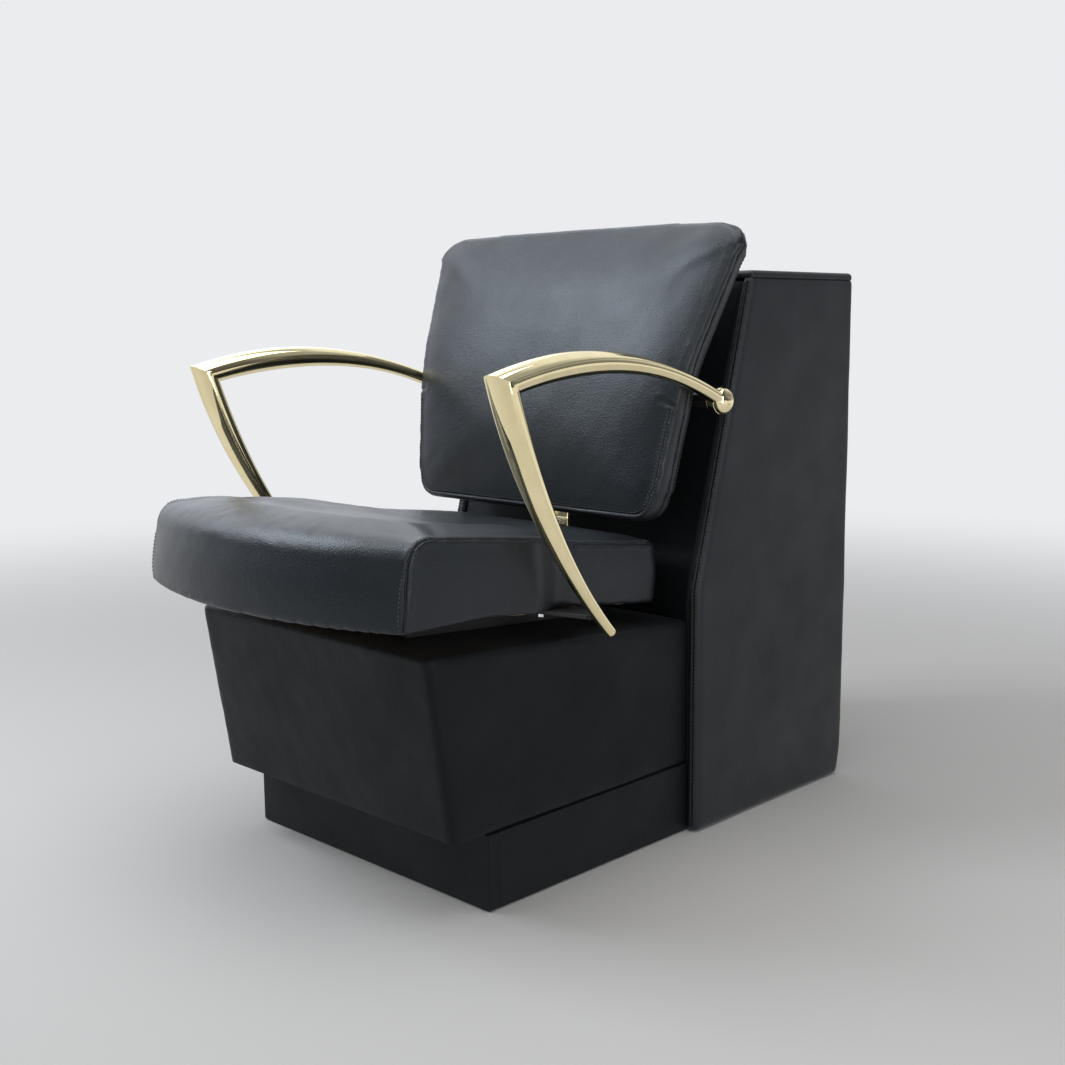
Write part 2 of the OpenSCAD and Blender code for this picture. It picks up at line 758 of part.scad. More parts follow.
seat_rings = concat(
    [lifted(seat_plan(pocket_in, pocket_in, pocket_in),
        function (p, i) board_low(p[1]) + seat_board_t + gap)],
    [for (d = [pocket_in, seat_low_r / 2]) lifted(seat_plan(d, d, d), function (p, i) cover_low(p[1]))],
    [lifted(seat_outline, function (p, i) cover_low(p[1]) + seat_low_r)],
    [for (s = side_ring_shares) let (d = -seat_bulge * (1 - pow(2 * s - 1, 2)))
        lifted(seat_plan(s * seat_face_lean + d, d, d),
            function (p, i) mix(cover_low(p[1]) + seat_low_r, edge_h(p, i, 0), s))],
    [for (a = edge_angles) let (d = seam_r * (1 - cos(a)))
        lifted(seat_plan(seat_face_lean + seat_nose_r * (1 - cos(a)), d, d),
            function (p, i) edge_h(p, i, a))],
    [for (k = [0:len(seat_ring_shares) - 1])
        [for (p = seat_plan(seat_face_lean + seat_nose_r, seam_r, seam_r)) let (
            q = toward_spine(p, seat_ring_shares[k]),
            lift = seat_roll_shares[k] > 0 ? seat_roll_h : seat_hollow)
            [q[0], q[1], seat_top(q[0], q[1]) + lift * seat_roll_shares[k]]]]);

// The padded seat, with a pocket underneath for its board
module seat_cushion() {
    color(vinyl)
        ring_solid(seat_rings, [0, seat_spine_y, pocket_top],
            [0, seat_spine_y, seam_h(seat_spine_y) - seat_hollow]);
}

// The face of the back bends once and leans in two steps
bend_y = seat_rear_y - back_low_in + (back_bend_h - back_low_h) * tan(back_lean_low);
bend_turn = back_lean_top - back_lean_low;
bend_r = back_bend_len / (bend_turn * PI / 180);
bend_half = bend_r * tan(bend_turn / 2);
bend_start = [bend_y - bend_half * sin(back_lean_low), back_bend_h - bend_half * cos(back_lean_low)];
bend_end = [bend_y + bend_half * sin(back_lean_top), back_bend_h + bend_half * cos(back_lean_top)];
low_run = (bend_start[1] - back_low_h) / cos(back_lean_low);
top_run = (back_top_h - bend_end[1]) / cos(back_lean_top);
back_run = low_run + back_bend_len + top_run;

boss_h = back_bend_h - boss_drop;
// The front face of the upper part of the upright lies against the rear cover of the back
lean_low_v = back_corner_r;
lean_high_v = (boss_h + cross_d - back_low_h) / cos(back_lean_low);
lean_low = back_place(lean_low_v, rear_w(lean_low_v) + gap);
lean_high = back_place(lean_high_v, rear_w(lean_high_v) + 2 * gap);
lean_dir = unit(lean_high - lean_low);
lean_out = [lean_dir[1], -lean_dir[0]];
upright_lean = atan2(lean_dir[0], lean_dir[1]);
// Middle of the tip of the post, the front corner and the boss of an arm, seen from the side
tip = [tip_y + front_y, tip_h];
corner = [corner_y + front_y, corner_h];
boss = [upright_mid(boss_h)[0] + boss_behind, boss_h];
// The strap meets the post at the height of the seat board
strap_guess_share = 0.06;
strap_guess = bow_point(tip, corner, post_bow, strap_guess_share);
strap_share = strap_guess_share
    + (board_low(strap_guess[0]) - strap_t / 2 - strap_guess[1]) / (corner_h - tip_h);
strap_y = bow_point(tip, corner, post_bow, strap_share)[0];
bolt_x = seat_rear_w / 2 - strap_bolt_gap / 2;
bolt_ys = [strap_y - strap_bolt_gap / 2, strap_y + strap_bolt_gap / 2];
riser_x = seat_rear_w / 4;
riser_front_y = base_front_y + base_panel_t * 3;
riser_rear_y = seat_rear_y - upright_leg / 3;
leg_front_y = seat_rear_y - upright_leg;
leg_bolt_ys = [leg_front_y + upright_w / 4, leg_front_y + upright_w];

// The board that stiffens the seat
module seat_board() {
    color(ply)
        difference() {
            intersection() {
                linear_extrude(box_h)
                    polygon(seat_plan(seat_board_in, seat_board_in, seat_board_in));
                slab_x([
                    [front_y, board_low(front_y)], [seat_rear_y, board_low(seat_rear_y)],
                    [seat_rear_y, board_low(seat_rear_y) + seat_board_t],
                    [front_y, board_low(front_y) + seat_board_t]],
                    seat_w);
            }
            for (sx = [-1, 1], y = bolt_ys)
                bolt_hole(sx * bolt_x, y, strap_bolt_d);
            for (y = leg_bolt_ys)
                bolt_hole(0, y, frame_bolt_d);
        }
}

// A hole square to the seat board at x and y
module bolt_hole(x, y, d) {
    translate([x, y, board_low(y)])
        rotate([-seat_rake, 0, 0])
            translate([0, 0, -seat_board_t])
                cylinder(d = d + 2 * slip, h = 2 * seat_board_t - seat_board_t / 4);
}

// Wedge rails that carry the seat board over the base
module seat_risers() {
    color(painted)
        for (sx = [-1, 1])
            slab_x([
                [riser_front_y, base_top(riser_front_y)], [riser_rear_y, base_top(riser_rear_y)],
                [riser_rear_y, board_low(riser_rear_y)], [riser_front_y, board_low(riser_front_y)]],
                riser_w, sx * riser_x);
}

// Head width across flats, head height and washer thickness as shares of the thread
hex_w_share = 1.6;
hex_h_share = 0.65;
washer_share = 0.2;

// A hexagon bolt that comes up from below through a plate of thickness t
module hex_bolt(x, y, d, t) {
    head_w = d * hex_w_share;
    head_h = d * hex_h_share;
    washer_t = d * washer_share;
    translate([x, y, board_low(y)])
        rotate([-seat_rake, 0, 0])
            translate([0, 0, -t]) {
                translate([0, 0, -washer_t])
                    cylinder(d = 2 * d, h = washer_t);
                translate([0, 0, -washer_t - head_h])
                    cylinder(d = head_w / cos(180 / 6), h = head_h, $fn = 6);
                cylinder(d = d, h = t + seat_board_t / 2);
            }
}

module strap_bolts() {
    color(chrome)
        for (sx = [-1, 1], y = bolt_ys)
            hex_bolt(sx * bolt_x, y, strap_bolt_d, strap_t);
}

module frame_bolts() {
    color(chrome)
        for (y = leg_bolt_ys)
            hex_bolt(0, y, frame_bolt_d, upright_t);
}

// Arms: a curved post and an arched top tube that meet in a mitre

// Points and directions along an arc from a to b that bows by s to its left side
function bow_radius(a, b, s) = (pow(norm(b - a) / 2, 2) + s * s) / (2 * s);
function bow_point(a, b, s, t) = let (
    r = bow_radius(a, b, s),
    h = asin(norm(b - a) / 2 / r),
    u = unit(b - a),
    v = [-u[1], u[0]],
    w = mix(-h, h, t))
    (a + b) / 2 + u * r * sin(w) + v * (r * cos(w) - r + s);
function bow_dir(a, b, s, t) = let (
    r = bow_radius(a, b, s),
    h = asin(norm(b - a) / 2 / r),
    u = unit(b - a),
    v = [-u[1], u[0]],
    w = mix(-h, h, t))
    u * cos(w) - v * sin(w);

tube_sides = 28;
post_steps = 11;
top_steps = 15;
// A ring of the tube about p, with half height a along e and half width b across
function tube_ring(p, e, a, b) = [for (i = [0:tube_sides - 1]) let (w = 360 * i / tube_sides)
    [b * sin(w), p[0] + e[0] * a * cos(w), p[1] + e[1] * a * cos(w)]];
function left_of(d) = [-d[1], d[0]];

mitre_in = bow_dir(tip, corner, post_bow, 1);
mitre_out = bow_dir(corner, boss, arm_rise, 0);
mitre_e = unit(left_of(mitre_in) + left_of(mitre_out));
mitre_stretch = 1 / (mitre_e * left_of(mitre_out));
// Shares of the top tube at which its height and its width start and stop tapering
taper_t_share = [0.18, 0.8];
taper_w_share = [0.12, 0.82];
// Share by which the taper of the post has begun at its tip
post_start_share = 0.09;
function taper(t, ends_share) = smooth((t - ends_share[0]) / (ends_share[1] - ends_share[0]));
// Height and width of the top tube at share t from the corner, and of the post from its tip
function top_t(t) = mix(arm_front_t, arm_rear_t, taper(t, taper_t_share));
function top_w(t) = mix(arm_front_w, arm_rear_w, taper(t, taper_w_share));
function post_t(t) = mix(tip_t, arm_front_t, smooth(mix(post_start_share, 1, t)));
function post_w(t) = mix(tip_t, arm_front_w, smooth(mix(post_start_share, 1, t)));

arm_rings = concat(
    [for (a = [70, 45, 20]) let (
        e = left_of(bow_dir(tip, corner, post_bow, 0)),
        p = tip - bow_dir(tip, corner, post_bow, 0) * post_t(0) / 2 * sin(a))
        tube_ring(p, e, post_t(0) / 2 * cos(a), post_w(0) / 2 * cos(a))],
    [for (i = [0:post_steps - 1]) let (t = i / post_steps)
        tube_ring(bow_point(tip, corner, post_bow, t), left_of(bow_dir(tip, corner, post_bow, t)),
            post_t(t) / 2, post_w(t) / 2)],
    [tube_ring(corner, mitre_e, arm_front_t / 2 * mitre_stretch, arm_front_w / 2)],
    [for (i = [1:top_steps]) let (t = i / top_steps)
        tube_ring(bow_point(corner, boss, arm_rise, t), left_of(bow_dir(corner, boss, arm_rise, t)),
            top_t(t) / 2, top_w(t) / 2)]);

arm_tip_end = tip - bow_dir(tip, corner, post_bow, 0) * post_t(0) / 2;

// Turns an arm part about its boss so that the arms open to the front
module splayed() {
    translate([boss_x, boss[0], 0])
        rotate([0, 0, arm_splay])
            translate([0, -boss[0], 0])
                children();
}

module boss_bar(d, x0, x1) {
    translate([x0, boss[0], boss_h])
        rotate([0, 90, 0])
            cylinder(d = d, h = x1 - x0);
}

boss_x0 = boss_x - boss_len / 2;
boss_x1 = boss_x + boss_len / 2;
cap_t = boss_len / 6;
// Chamfer of the boss, and how far its cap domes out over it
boss_edge = boss_len / 15;
cap_rise = boss_edge + slip;
bolt_head_t = frame_bolt_d * hex_h_share;
socket_deep = boss_len / 2;

module arm() {
    difference() {
        splayed()
            ring_solid(arm_rings, [0, arm_tip_end[0], arm_tip_end[1]], [0, boss[0], boss[1]]);
        boss_bar(boss_d + 2 * slip, boss_x0 - boss_len, boss_x1 + boss_len);
    }
}

module arm_right() {
    color(gold) arm();
}

module arm_left() {
    color(gold) mirror([1, 0, 0]) arm();
}

// The cylindrical boss takes the end of the cross tube and a bolt under a cap
module arm_boss() {
    edge = boss_edge;
    difference() {
        translate([boss_x0, boss[0], boss_h])
            rotate([90, 0, 90])
                rotate_extrude()
                    polygon([
                        [0, 0], [boss_d / 2 - edge, 0], [boss_d / 2, edge],
                        [boss_d / 2, boss_len - edge], [boss_d / 2 - edge, boss_len], [0, boss_len]]);
        boss_bar(cross_d + 2 * slip, boss_x0 - over, boss_x0 + socket_deep);
        boss_bar(frame_bolt_d + 2 * slip, boss_x0, boss_x1 + over);
        boss_bar(boss_d - 4 * edge, boss_x1 - cap_t - bolt_head_t, boss_x1 + over);
    }
}

module arm_boss_right() {
    color(gold) arm_boss();
}

module arm_boss_left() {
    color(gold) mirror([1, 0, 0]) arm_boss();
}

// The domed cap that closes the outer end of a boss
module arm_cap() {
    r = boss_d / 2 - 2 * boss_edge - slip;
    rise = cap_rise;
    dome = (r * r + rise * rise) / (2 * rise);
    translate([boss_x1 - cap_t, boss[0], boss_h])
        rotate([90, 0, 90])
            rotate_extrude()
                polygon(concat([[0, 0], [r, 0]],
                    arc([0, cap_t + rise - dome], dome, 90 - asin(r / dome), 90, 6)));
}

module arm_caps() {
    color(gold) {
        arm_cap();
        mirror([1, 0, 0]) arm_cap();
    }
}

// Bolts that hold the bosses to the ends of the cross tube
module arm_bolt() {
    x_head = boss_x1 - cap_t - bolt_head_t;
    boss_bar(frame_bolt_d, boss_x0 - boss_len / 2, x_head);
    boss_bar(2 * frame_bolt_d, x_head, x_head + bolt_head_t - slip);
}

module arm_bolts() {
    color(chrome) {
        arm_bolt();
        mirror([1, 0, 0]) arm_bolt();
    }
}

// Where the tongue of the strap ends, at the inner side of the post
tongue_end = boss_x + (boss[0] - strap_y) * sin(arm_splay) - post_w(strap_share) / 2 / cos(arm_splay);

// The strap bolted under the seat board, with a tongue that meets the post
module strap() {
    plate_x0 = bolt_x - strap_bolt_gap / 2;
    plate_x1 = seat_rear_w / 2;
    y0 = strap_y - strap_len / 2;
    y1 = strap_y + strap_len / 2;
    translate([0, strap_y, board_low(strap_y)])
        rotate([-seat_rake, 0, 0])
            translate([0, -strap_y, -strap_t])
                difference() {
                    linear_extrude(strap_t)
                        polygon([
                            [plate_x0, y0], [plate_x1, y0],
                            [tongue_end - strap_t, strap_y - tongue_w / 2],
                            [tongue_end - gap, strap_y - tongue_w / 2],
                            [tongue_end - gap, strap_y + tongue_w / 2],
                            [tongue_end - strap_t, strap_y + tongue_w / 2],
                            [plate_x1, y1], [plate_x0, y1]]);
                    for (y = bolt_ys)
                        translate([bolt_x, y, -over])
                            cylinder(d = strap_bolt_d + 2 * slip, h = strap_t + 2 * over);
                }
}

module strap_right() {
    color(painted) strap();
}

module strap_left() {
    color(painted) mirror([1, 0, 0]) strap();
}

// Back
// Lean of the back at the length v up its front face
function back_lean(v) = back_lean_low + bend_turn * min(1, max(0, (v - low_run) / back_bend_len));
// Place in the y-z plane at length v up the front face and depth w behind it
function back_place(v, w) = let (
    a = back_lean(v),
    base = v <= low_run ? bend_start + (v - low_run) * [sin(back_lean_low), cos(back_lean_low)]
        : v >= low_run + back_bend_len
            ? bend_end + (v - low_run - back_bend_len) * [sin(back_lean_top), cos(back_lean_top)]
            : bend_start + bend_r * [cos(back_lean_low) - cos(a), sin(a) - sin(back_lean_low)])
    base + w * [cos(a), -sin(a)];
// Half width of the back and thickness of its edge at length v
function back_half(v) = let (s = v / back_run, m = (low_run + back_bend_len / 2) / back_run)
    (s < m ? mix(back_low_w, back_mid_w, s / m) : mix(back_mid_w, back_top_w, (s - m) / (1 - m))) / 2;
function back_edge_t(v) = mix(back_low_t, back_top_t, v / back_run);

// Outline of the right half of the back, from the lower middle to the upper middle
back_side_steps = 12;
back_half_outline = let (
    r = back_corner_r,
    lw = back_half(0),
    tw = back_half(back_run))
    concat(
        [for (i = [0:3]) [(lw - r) * i / 4, 0]],
        arc([lw - r, r], r, -90, 0, 4),
        [for (i = [1:back_side_steps - 1]) let (v = mix(r, back_run - back_arch - r, i / back_side_steps))
            [back_half(v), v]],
        arc([tw - r, back_run - back_arch - r], r, 0, 82, 4),
        [for (i = [1:4]) let (x = (tw - r) * (1 - i / 4))
            [x, back_run - back_arch * pow(x / tw, 2)]]);
back_last = len(back_half_outline) - 1;
back_outline = concat(
    [for (i = [0:back_last]) back_half_outline[i]],
    [for (i = [back_last - 1:-1:1]) [-back_half_outline[i][0], back_half_outline[i][1]]]);
back_normals = outline_normals(back_outline);
back_mid_v = back_run / 2;

// A point of the back at width x and length v, w behind the front seam. The sides come forward by wing.
function back_point(x, v, w, wing = back_wing) = let (
    bend_in = wing * pow(x / (back_top_w / 2), 2),
    p = back_place(v, w - bend_in))
    [x, p[0], p[1]];

// A ring of the back: the outline moved in by d and kept at share s, at depth w(v)
function back_ring(d, s, depth, wing = back_wing) = [for (i = [0:len(back_outline) - 1]) let (
    q = back_outline[i] - d * back_normals[i],
    x = q[0] * s,
    v = mix(back_mid_v, q[1], s))
    back_point(x, v, depth(v), wing)];

// Shares of the outline kept by the rings of the layers that lie on each other
layer_shares = [0.1, 0.25, 0.45, 0.7, 1];
// Shares of the outline kept by the rings across the front, and of the crown at them
back_ring_shares = [0.94, 0.84, 0.7, 0.5, 0.25];
back_crown_shares = [0.42, 0.74, 0.9, 0.98, 1];
// Shares of the seam radius at the two rings round the front seam
seam_in_shares = [1, 0.3];
seam_up_shares = [0.8, 0];
// Shares of the edge thickness and of the seam radius at the rings of the side band
band_shares = [0.3, 0.75, 1];
band_in_shares = [0, 0, 0.4];

// A closed solid from rings that run from the front of the back to its rear
module back_solid(rings, front_tip, rear_tip) {
    ring_solid([for (k = [len(rings) - 1:-1:0]) rings[k]], rear_tip, front_tip);
}

// The crowned front cushion of the back
module back_cushion() {
    rings = concat(
        [for (k = [4:-1:0]) back_ring(back_seam_r, back_ring_shares[k],
            function (v) -back_crown * back_crown_shares[k])],
        [for (k = [0:1]) back_ring(back_seam_r * seam_in_shares[k], 1,
            function (v) -back_seam_r * seam_up_shares[k])],
        [for (k = [0:2]) back_ring(back_seam_r * band_in_shares[k], 1,
            function (v) back_edge_t(v) * band_shares[k])],
        [for (k = [4:-1:0]) back_ring(back_board_in, layer_shares[k], function (v) back_edge_t(v), 0)]);
    color(vinyl)
        ring_solid(rings,
            back_point(0, back_mid_v, -back_crown),
            back_point(0, back_mid_v, back_edge_t(back_mid_v)), true);
}

// Depth of the board and of the rear cover behind the front seam at length v
function board_w(v) = back_edge_t(v) + 2 * gap;
function rear_w(v) = board_w(v) + back_board_t + 2 * gap + back_rear_t;

// Steps of the board round the bend
board_steps = 8;

// The board behind the cushion, bent in one direction, in a pocket of the rear cover
module back_board() {
    lengths = concat([0], [for (i = [0:board_steps]) low_run + back_bend_len * i / board_steps], [back_run]);
    last = len(lengths) - 1;
    color(ply)
        intersection() {
            slab_x(concat(
                [for (v = lengths) back_place(v, board_w(v))],
                [for (i = [last:-1:0]) back_place(lengths[i], board_w(lengths[i]) + back_board_t)]),
                back_top_w);
            translate([0, rear_y, 0])
                rotate([90, 0, 0])
                    linear_extrude(chair_d)
                        polygon([for (i = [0:len(back_outline) - 1]) let (
                            q = back_outline[i] - (back_board_in + 4 * gap) * back_normals[i],
                            w = board_w(q[1]) + (q[1] > back_mid_v ? back_board_t : 0))
                            [q[0], back_place(q[1], w)[1]]]);
        }
}

// The padded rear cover of the back, with a pocket for the board
rear_cover_shares = [1, 0.97, 0.9, 0.75, 0.6, 0.45, 0.3, 0.15];
rear_cover_rise_shares = [0.35, 0.7, 0.9, 1, 1, 1, 1, 1];
module back_rear_cover() {
    pocket = back_board_in - gap;
    floor_t = back_board_t + 2 * gap;
    rings = concat(
        [for (s = layer_shares) back_ring(pocket, s, function (v) board_w(v) + floor_t, 0)],
        [back_ring(pocket, 1, function (v) board_w(v), 0)],
        [back_ring(rear_cover_in, 1, function (v) board_w(v) + 3 * gap)],
        [for (k = [0:len(rear_cover_shares) - 1]) back_ring(rear_cover_in, rear_cover_shares[k],
            function (v) mix(board_w(v), rear_w(v), rear_cover_rise_shares[k]),
            k == 0 ? back_wing : 0)]);
    color(vinyl_dark)
        back_solid(rings,
            back_point(0, back_mid_v, board_w(back_mid_v) + floor_t),
            back_point(0, back_mid_v, rear_w(back_mid_v)));
}

// Middle of the upright at height h
function upright_mid(h) = lean_low + lean_dir * (h - lean_low[1]) / lean_dir[1] + lean_out * upright_t / 2;
leg_mid = upright_t / 2 / cos(seat_rake);
rise_y = seat_rear_y + upright_t / 2 + upright_bend_r + 2 * gap;
upright_top = lean_high[1];
upright_path = [
    [leg_front_y, board_low(leg_front_y) - leg_mid],
    [rise_y, board_low(rise_y) - leg_mid],
    upright_mid(back_low_h - back_corner_r / 2),
    upright_mid(upright_top)];

// Points and directions to the left of a path along the rounded corner at b
function fillet(a, b, c, r, n = 8) = let (
    d0 = unit(b - a),
    d1 = unit(c - b),
    turn = acos(d0 * d1),
    side = sign(d0[0] * d1[1] - d0[1] * d1[0]),
    start = b - d0 * r * tan(turn / 2),
    n0 = side * left_of(d0),
    mid = start + n0 * r)
    [for (i = [0:n]) let (w = side * turn * i / n,
        q = [n0[0] * cos(w) - n0[1] * sin(w), n0[0] * sin(w) + n0[1] * cos(w)])
        [mid - q * r, side * q]];

module back_upright() {
    p = upright_path;
    r = upright_bend_r + upright_t / 2;
    line = concat(
        [[p[0], left_of(unit(p[1] - p[0]))]],
        fillet(p[0], p[1], p[2], r),
        fillet(p[1], p[2], p[3], r),
        [[p[3], left_of(unit(p[3] - p[2]))]]);
    n = len(line);
    color(gold)
        difference() {
            slab_x(concat(
                [for (q = line) q[0] - q[1] * upright_t / 2],
                [for (i = [n - 1:-1:0]) line[i][0] + line[i][1] * upright_t / 2]),
                upright_w);
            for (y = leg_bolt_ys)
                translate([0, y, board_low(y)])
                    rotate([-seat_rake, 0, 0])
                        translate([0, 0, -2 * upright_t])
                            cylinder(d = frame_bolt_d + 2 * slip, h = 3 * upright_t);
            for (q = back_bolt_places)
                lean_bar(q, frame_bolt_d + 2 * slip, -upright_t, upright_t);
        }
}

// A cylinder square to the upper part of the upright, at width q[0] and height q[1]
module lean_bar(q, d, w0, w1) {
    m = upright_mid(q[1]);
    translate([q[0], m[0], m[1]])
        rotate([90 + upright_lean, 0, 180])
            translate([0, 0, w0])
                cylinder(d = d, h = w1 - w0);
}

// Places of the screws that hold the back to the upright
back_bolt_places = [for (sx = [-1, 1], h = [back_low_h + back_corner_r, boss_h - 2 * cross_d])
    [sx * upright_w / 4, h]];

// Button-head screws that hold the back to the upright
module back_bolts() {
    color(chrome)
        for (q = back_bolt_places) {
            lean_bar(q, frame_bolt_d, -upright_t / 2, upright_t / 2 + frame_bolt_d / 4);
            lean_bar(q, 2 * frame_bolt_d, upright_t / 2, upright_t / 2 + frame_bolt_d / 2);
        }
}

// The saddle fills the space between the upright and the cross tube
module tube_saddle() {
    mid = upright_mid(boss_h);
    color(painted)
        difference() {
            slab_x([
                for (q = [[-1, 0], [1, 0], [1, 1], [-1, 1]])
                    let (w = q[1] == 0 ? [0, 0] : [boss[0] - mid[0] - upright_t / 2, 0])
                    mid + lean_out * upright_t / 2 + lean_dir * q[0] * cross_d / 2 + w],
                upright_w / 2);
            boss_bar(cross_d + 2 * slip, -upright_w, upright_w);
        }
}

// Threaded plugs in the ends of the cross tube
module tube_plugs() {
    x1 = boss_x0 + socket_deep - slip;
    color(painted)
        for (k = [0, 1])
            mirror([k, 0, 0])
                difference() {
                    boss_bar(cross_d - 2 * cross_wall - 2 * slip, x1 - boss_len, x1);
                    boss_bar(frame_bolt_d + 2 * slip, x1 - boss_len - over, x1 + over);
                }
}

// The cross tube runs behind the upright from boss to boss
module cross_tube() {
    x1 = boss_x0 + socket_deep - slip;
    color(painted)
        difference() {
            boss_bar(cross_d, -x1, x1);
            boss_bar(cross_d - 2 * cross_wall, -x1 - over, x1 + over);
        }
}

box_right_side();
box_left_side();
box_top();
box_front_lower();
box_front_upper();
box_rear_panel();
box_heel_rail();
box_rear_screws();
box_floor();
box_battens();
base_front();
base_right_side();
base_left_side();
base_top_panel();
base_floor();
plinth_front();
plinth_right_side();
plinth_left_side();
plinth_rear();
glides();
seat_cushion();
seat_board();
seat_risers();
strap_bolts();
frame_bolts();
arm_right();
arm_left();
arm_boss_right();
arm_boss_left();
arm_caps();
arm_bolts();
strap_right();
strap_left();
back_cushion();
back_board();
back_rear_cover();
back_upright();
back_bolts();
tube_saddle();
cross_tube();
tube_plugs();
hood_board();
hood_nuts();
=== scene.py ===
"""Looks of the dryer chair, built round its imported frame. Lengths are in millimetres until a mesh is made."""

import json
from contextlib import contextmanager
from math import acos, asin, atan, atan2, ceil, cos, degrees, exp, pi, radians, sin, sqrt, tan

import bmesh
import bpy
import numpy as np
from mathutils import Matrix, Vector
from mathutils.bvhtree import BVHTree
from mathutils.kdtree import KDTree


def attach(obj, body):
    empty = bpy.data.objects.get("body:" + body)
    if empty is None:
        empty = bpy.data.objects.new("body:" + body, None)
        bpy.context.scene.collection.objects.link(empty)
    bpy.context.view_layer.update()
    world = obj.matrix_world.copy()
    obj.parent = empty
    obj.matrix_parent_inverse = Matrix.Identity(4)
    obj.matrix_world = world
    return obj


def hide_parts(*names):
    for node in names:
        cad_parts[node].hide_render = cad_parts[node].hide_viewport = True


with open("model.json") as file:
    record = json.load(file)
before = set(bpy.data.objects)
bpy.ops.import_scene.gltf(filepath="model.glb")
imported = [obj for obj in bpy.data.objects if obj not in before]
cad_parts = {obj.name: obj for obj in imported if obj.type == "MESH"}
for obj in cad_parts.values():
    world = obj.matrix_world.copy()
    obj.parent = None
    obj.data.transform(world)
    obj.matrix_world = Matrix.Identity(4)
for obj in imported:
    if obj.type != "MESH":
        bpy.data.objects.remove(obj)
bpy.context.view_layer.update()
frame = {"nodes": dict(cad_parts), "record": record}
NODES = frame["nodes"]
MM = 0.001

# Measures of the chair, as in the part
GAP = 0.3
GLIDE_H = 2
BOX_H, BOX_W, BOX_FOOT_D, BOX_TOP_D, BOX_KNEE_H = 870, 568, 417, 285, 386
SIDE_T, SIDE_ROLL_R, SIDE_REAR_R = 20, 9, 5
HEEL_H, HEEL_IN = 84, 12
BOX_TOP_T, BOX_TOP_R, BOX_FRONT_T, BOX_FRONT_INSET = 10, 7, 15, 4
HOOD_X, HOOD_Y, HOOD_HOLE_D = 160, 100, 9
BASE_D, BASE_FRONT_H, BASE_REAR_H, BASE_LEAN = 530, 375, 339, 41
BASE_T, BASE_R, PLINTH_H = 22, 12, 110
SEAT_W, SEAT_REAR_W, SEAT_D, SEAT_BOW, SEAT_GAP = 580, 490, 614, 60, 39
SCOOP_REAR, SCOOP_LEN, SEAT_LOW_H, SEAT_RAKE = 222, 104, 368, 6.7
SEAT_BOARD_T, SEAT_BOARD_IN, SEAT_REAR_T, SEAT_FRONT_T = 15, 14, 95, 106
SEAT_FRONT_LOW_H, SEAT_CORNER_R, SEAT_FACE_LEAN, SEAT_NOSE_R = 415, 18, 12, 42
SEAM_R, SEAT_LOW_R, SEAT_BULGE, SEAT_ROLL_H, SEAT_HOLLOW = 7, 6, 3, 9, 4
BACK_LOW_H, BACK_BEND_H, BACK_TOP_H, BACK_LOW_IN = 498, 715, 942, 40.3
LEAN_LOW, LEAN_TOP, BEND_LEN = 10, 24, 90
BACK_LOW_W, BACK_MID_W, BACK_TOP_W, BACK_ARCH = 524, 580, 658, 8
BACK_LOW_T, BACK_TOP_T, BACK_CORNER_R, BACK_SEAM_R = 28, 18, 36, 6
BACK_CROWN, BACK_WING, BACK_BOARD_IN, BACK_BOARD_T = 24, 9, 24, 10
REAR_IN, REAR_T = 3, 12
BOSS_DROP, BOSS_BEHIND, BOSS_X, BOSS_D, BOSS_LEN = 40, 18.9, 304, 40, 30
CORNER_H, CORNER_Y, ARM_RISE, TIP_H, TIP_Y, POST_BOW = 717, 193, 41, 370, 409, 25
SPLAY, FRONT_T, FRONT_W, ARM_REAR_T, ARM_REAR_W, TIP_T = 3.3, 36, 43, 21, 23, 15

CHAIR_D = SEAT_D + SEAT_GAP + BOX_FOOT_D
FRONT_Y, REAR_Y = -CHAIR_D / 2, CHAIR_D / 2
BOX_Y = REAR_Y - BOX_FOOT_D
SIDE_TOP = BOX_H - BOX_TOP_T
BOX_LEAN = atan((BOX_FOOT_D - BOX_TOP_D) / (BOX_H - BOX_KNEE_H))
INNER_W = BOX_W - 2 * SIDE_T
SEAT_END_Y = FRONT_Y + SEAT_D
SCOOP_Y = SEAT_END_Y - SCOOP_REAR
WIDE_Y = SCOOP_Y - SCOOP_LEN
BASE_Y = BOX_Y - BASE_D
BASE_FOOT_Y = BASE_Y + BASE_LEAN
BASE_END_Y = BOX_Y + BOX_FRONT_INSET
RAD = pi / 180


def vec(*v):
    return np.array(v, float)


def smooth(t):
    u = np.clip(t, 0, 1)
    return u * u * (3 - 2 * u)


def mix(a, b, t):
    return a + (b - a) * t


def arc(cx, cy, r, a0, a1, n):
    w = np.radians(np.linspace(a0, a1, n + 1))
    return [(cx + r * cos(a), cy + r * sin(a)) for a in w]


def circle(n, start=0.0):
    """Points round a circle of radius 1, from the angle start on."""
    turn = start + np.arange(n) * 2 * pi / n
    return np.c_[np.cos(turn), np.sin(turn)]


def bow_radius(half, rise):
    """Radius of an arc that rises by rise over half its chord."""
    return (half**2 + rise**2) / (2 * rise)


def unit(v):
    return v / np.linalg.norm(v, axis=-1, keepdims=True)


def ripple(p, size, seed):
    """A smooth, fixed unevenness between about -1 and 1 at the points p, in waves about size long."""
    out = np.zeros(len(p))
    for k in range(7):
        a = 1.7 * k + seed
        d = unit(vec(sin(a * 2.3 + 0.4), cos(a * 1.9), sin(a * 3.1 + 1.1)))
        out += np.sin(p @ d * (2 * pi / (size * (0.7 + 0.19 * k))) + a * 5.3)
    return out / 4


def outline_normals(pts):
    """Directions out of an outline that runs anticlockwise."""
    t = unit(np.roll(pts, -1, 0) - np.roll(pts, 1, 0))
    return np.c_[t[:, 1], -t[:, 0]]


# Meshes

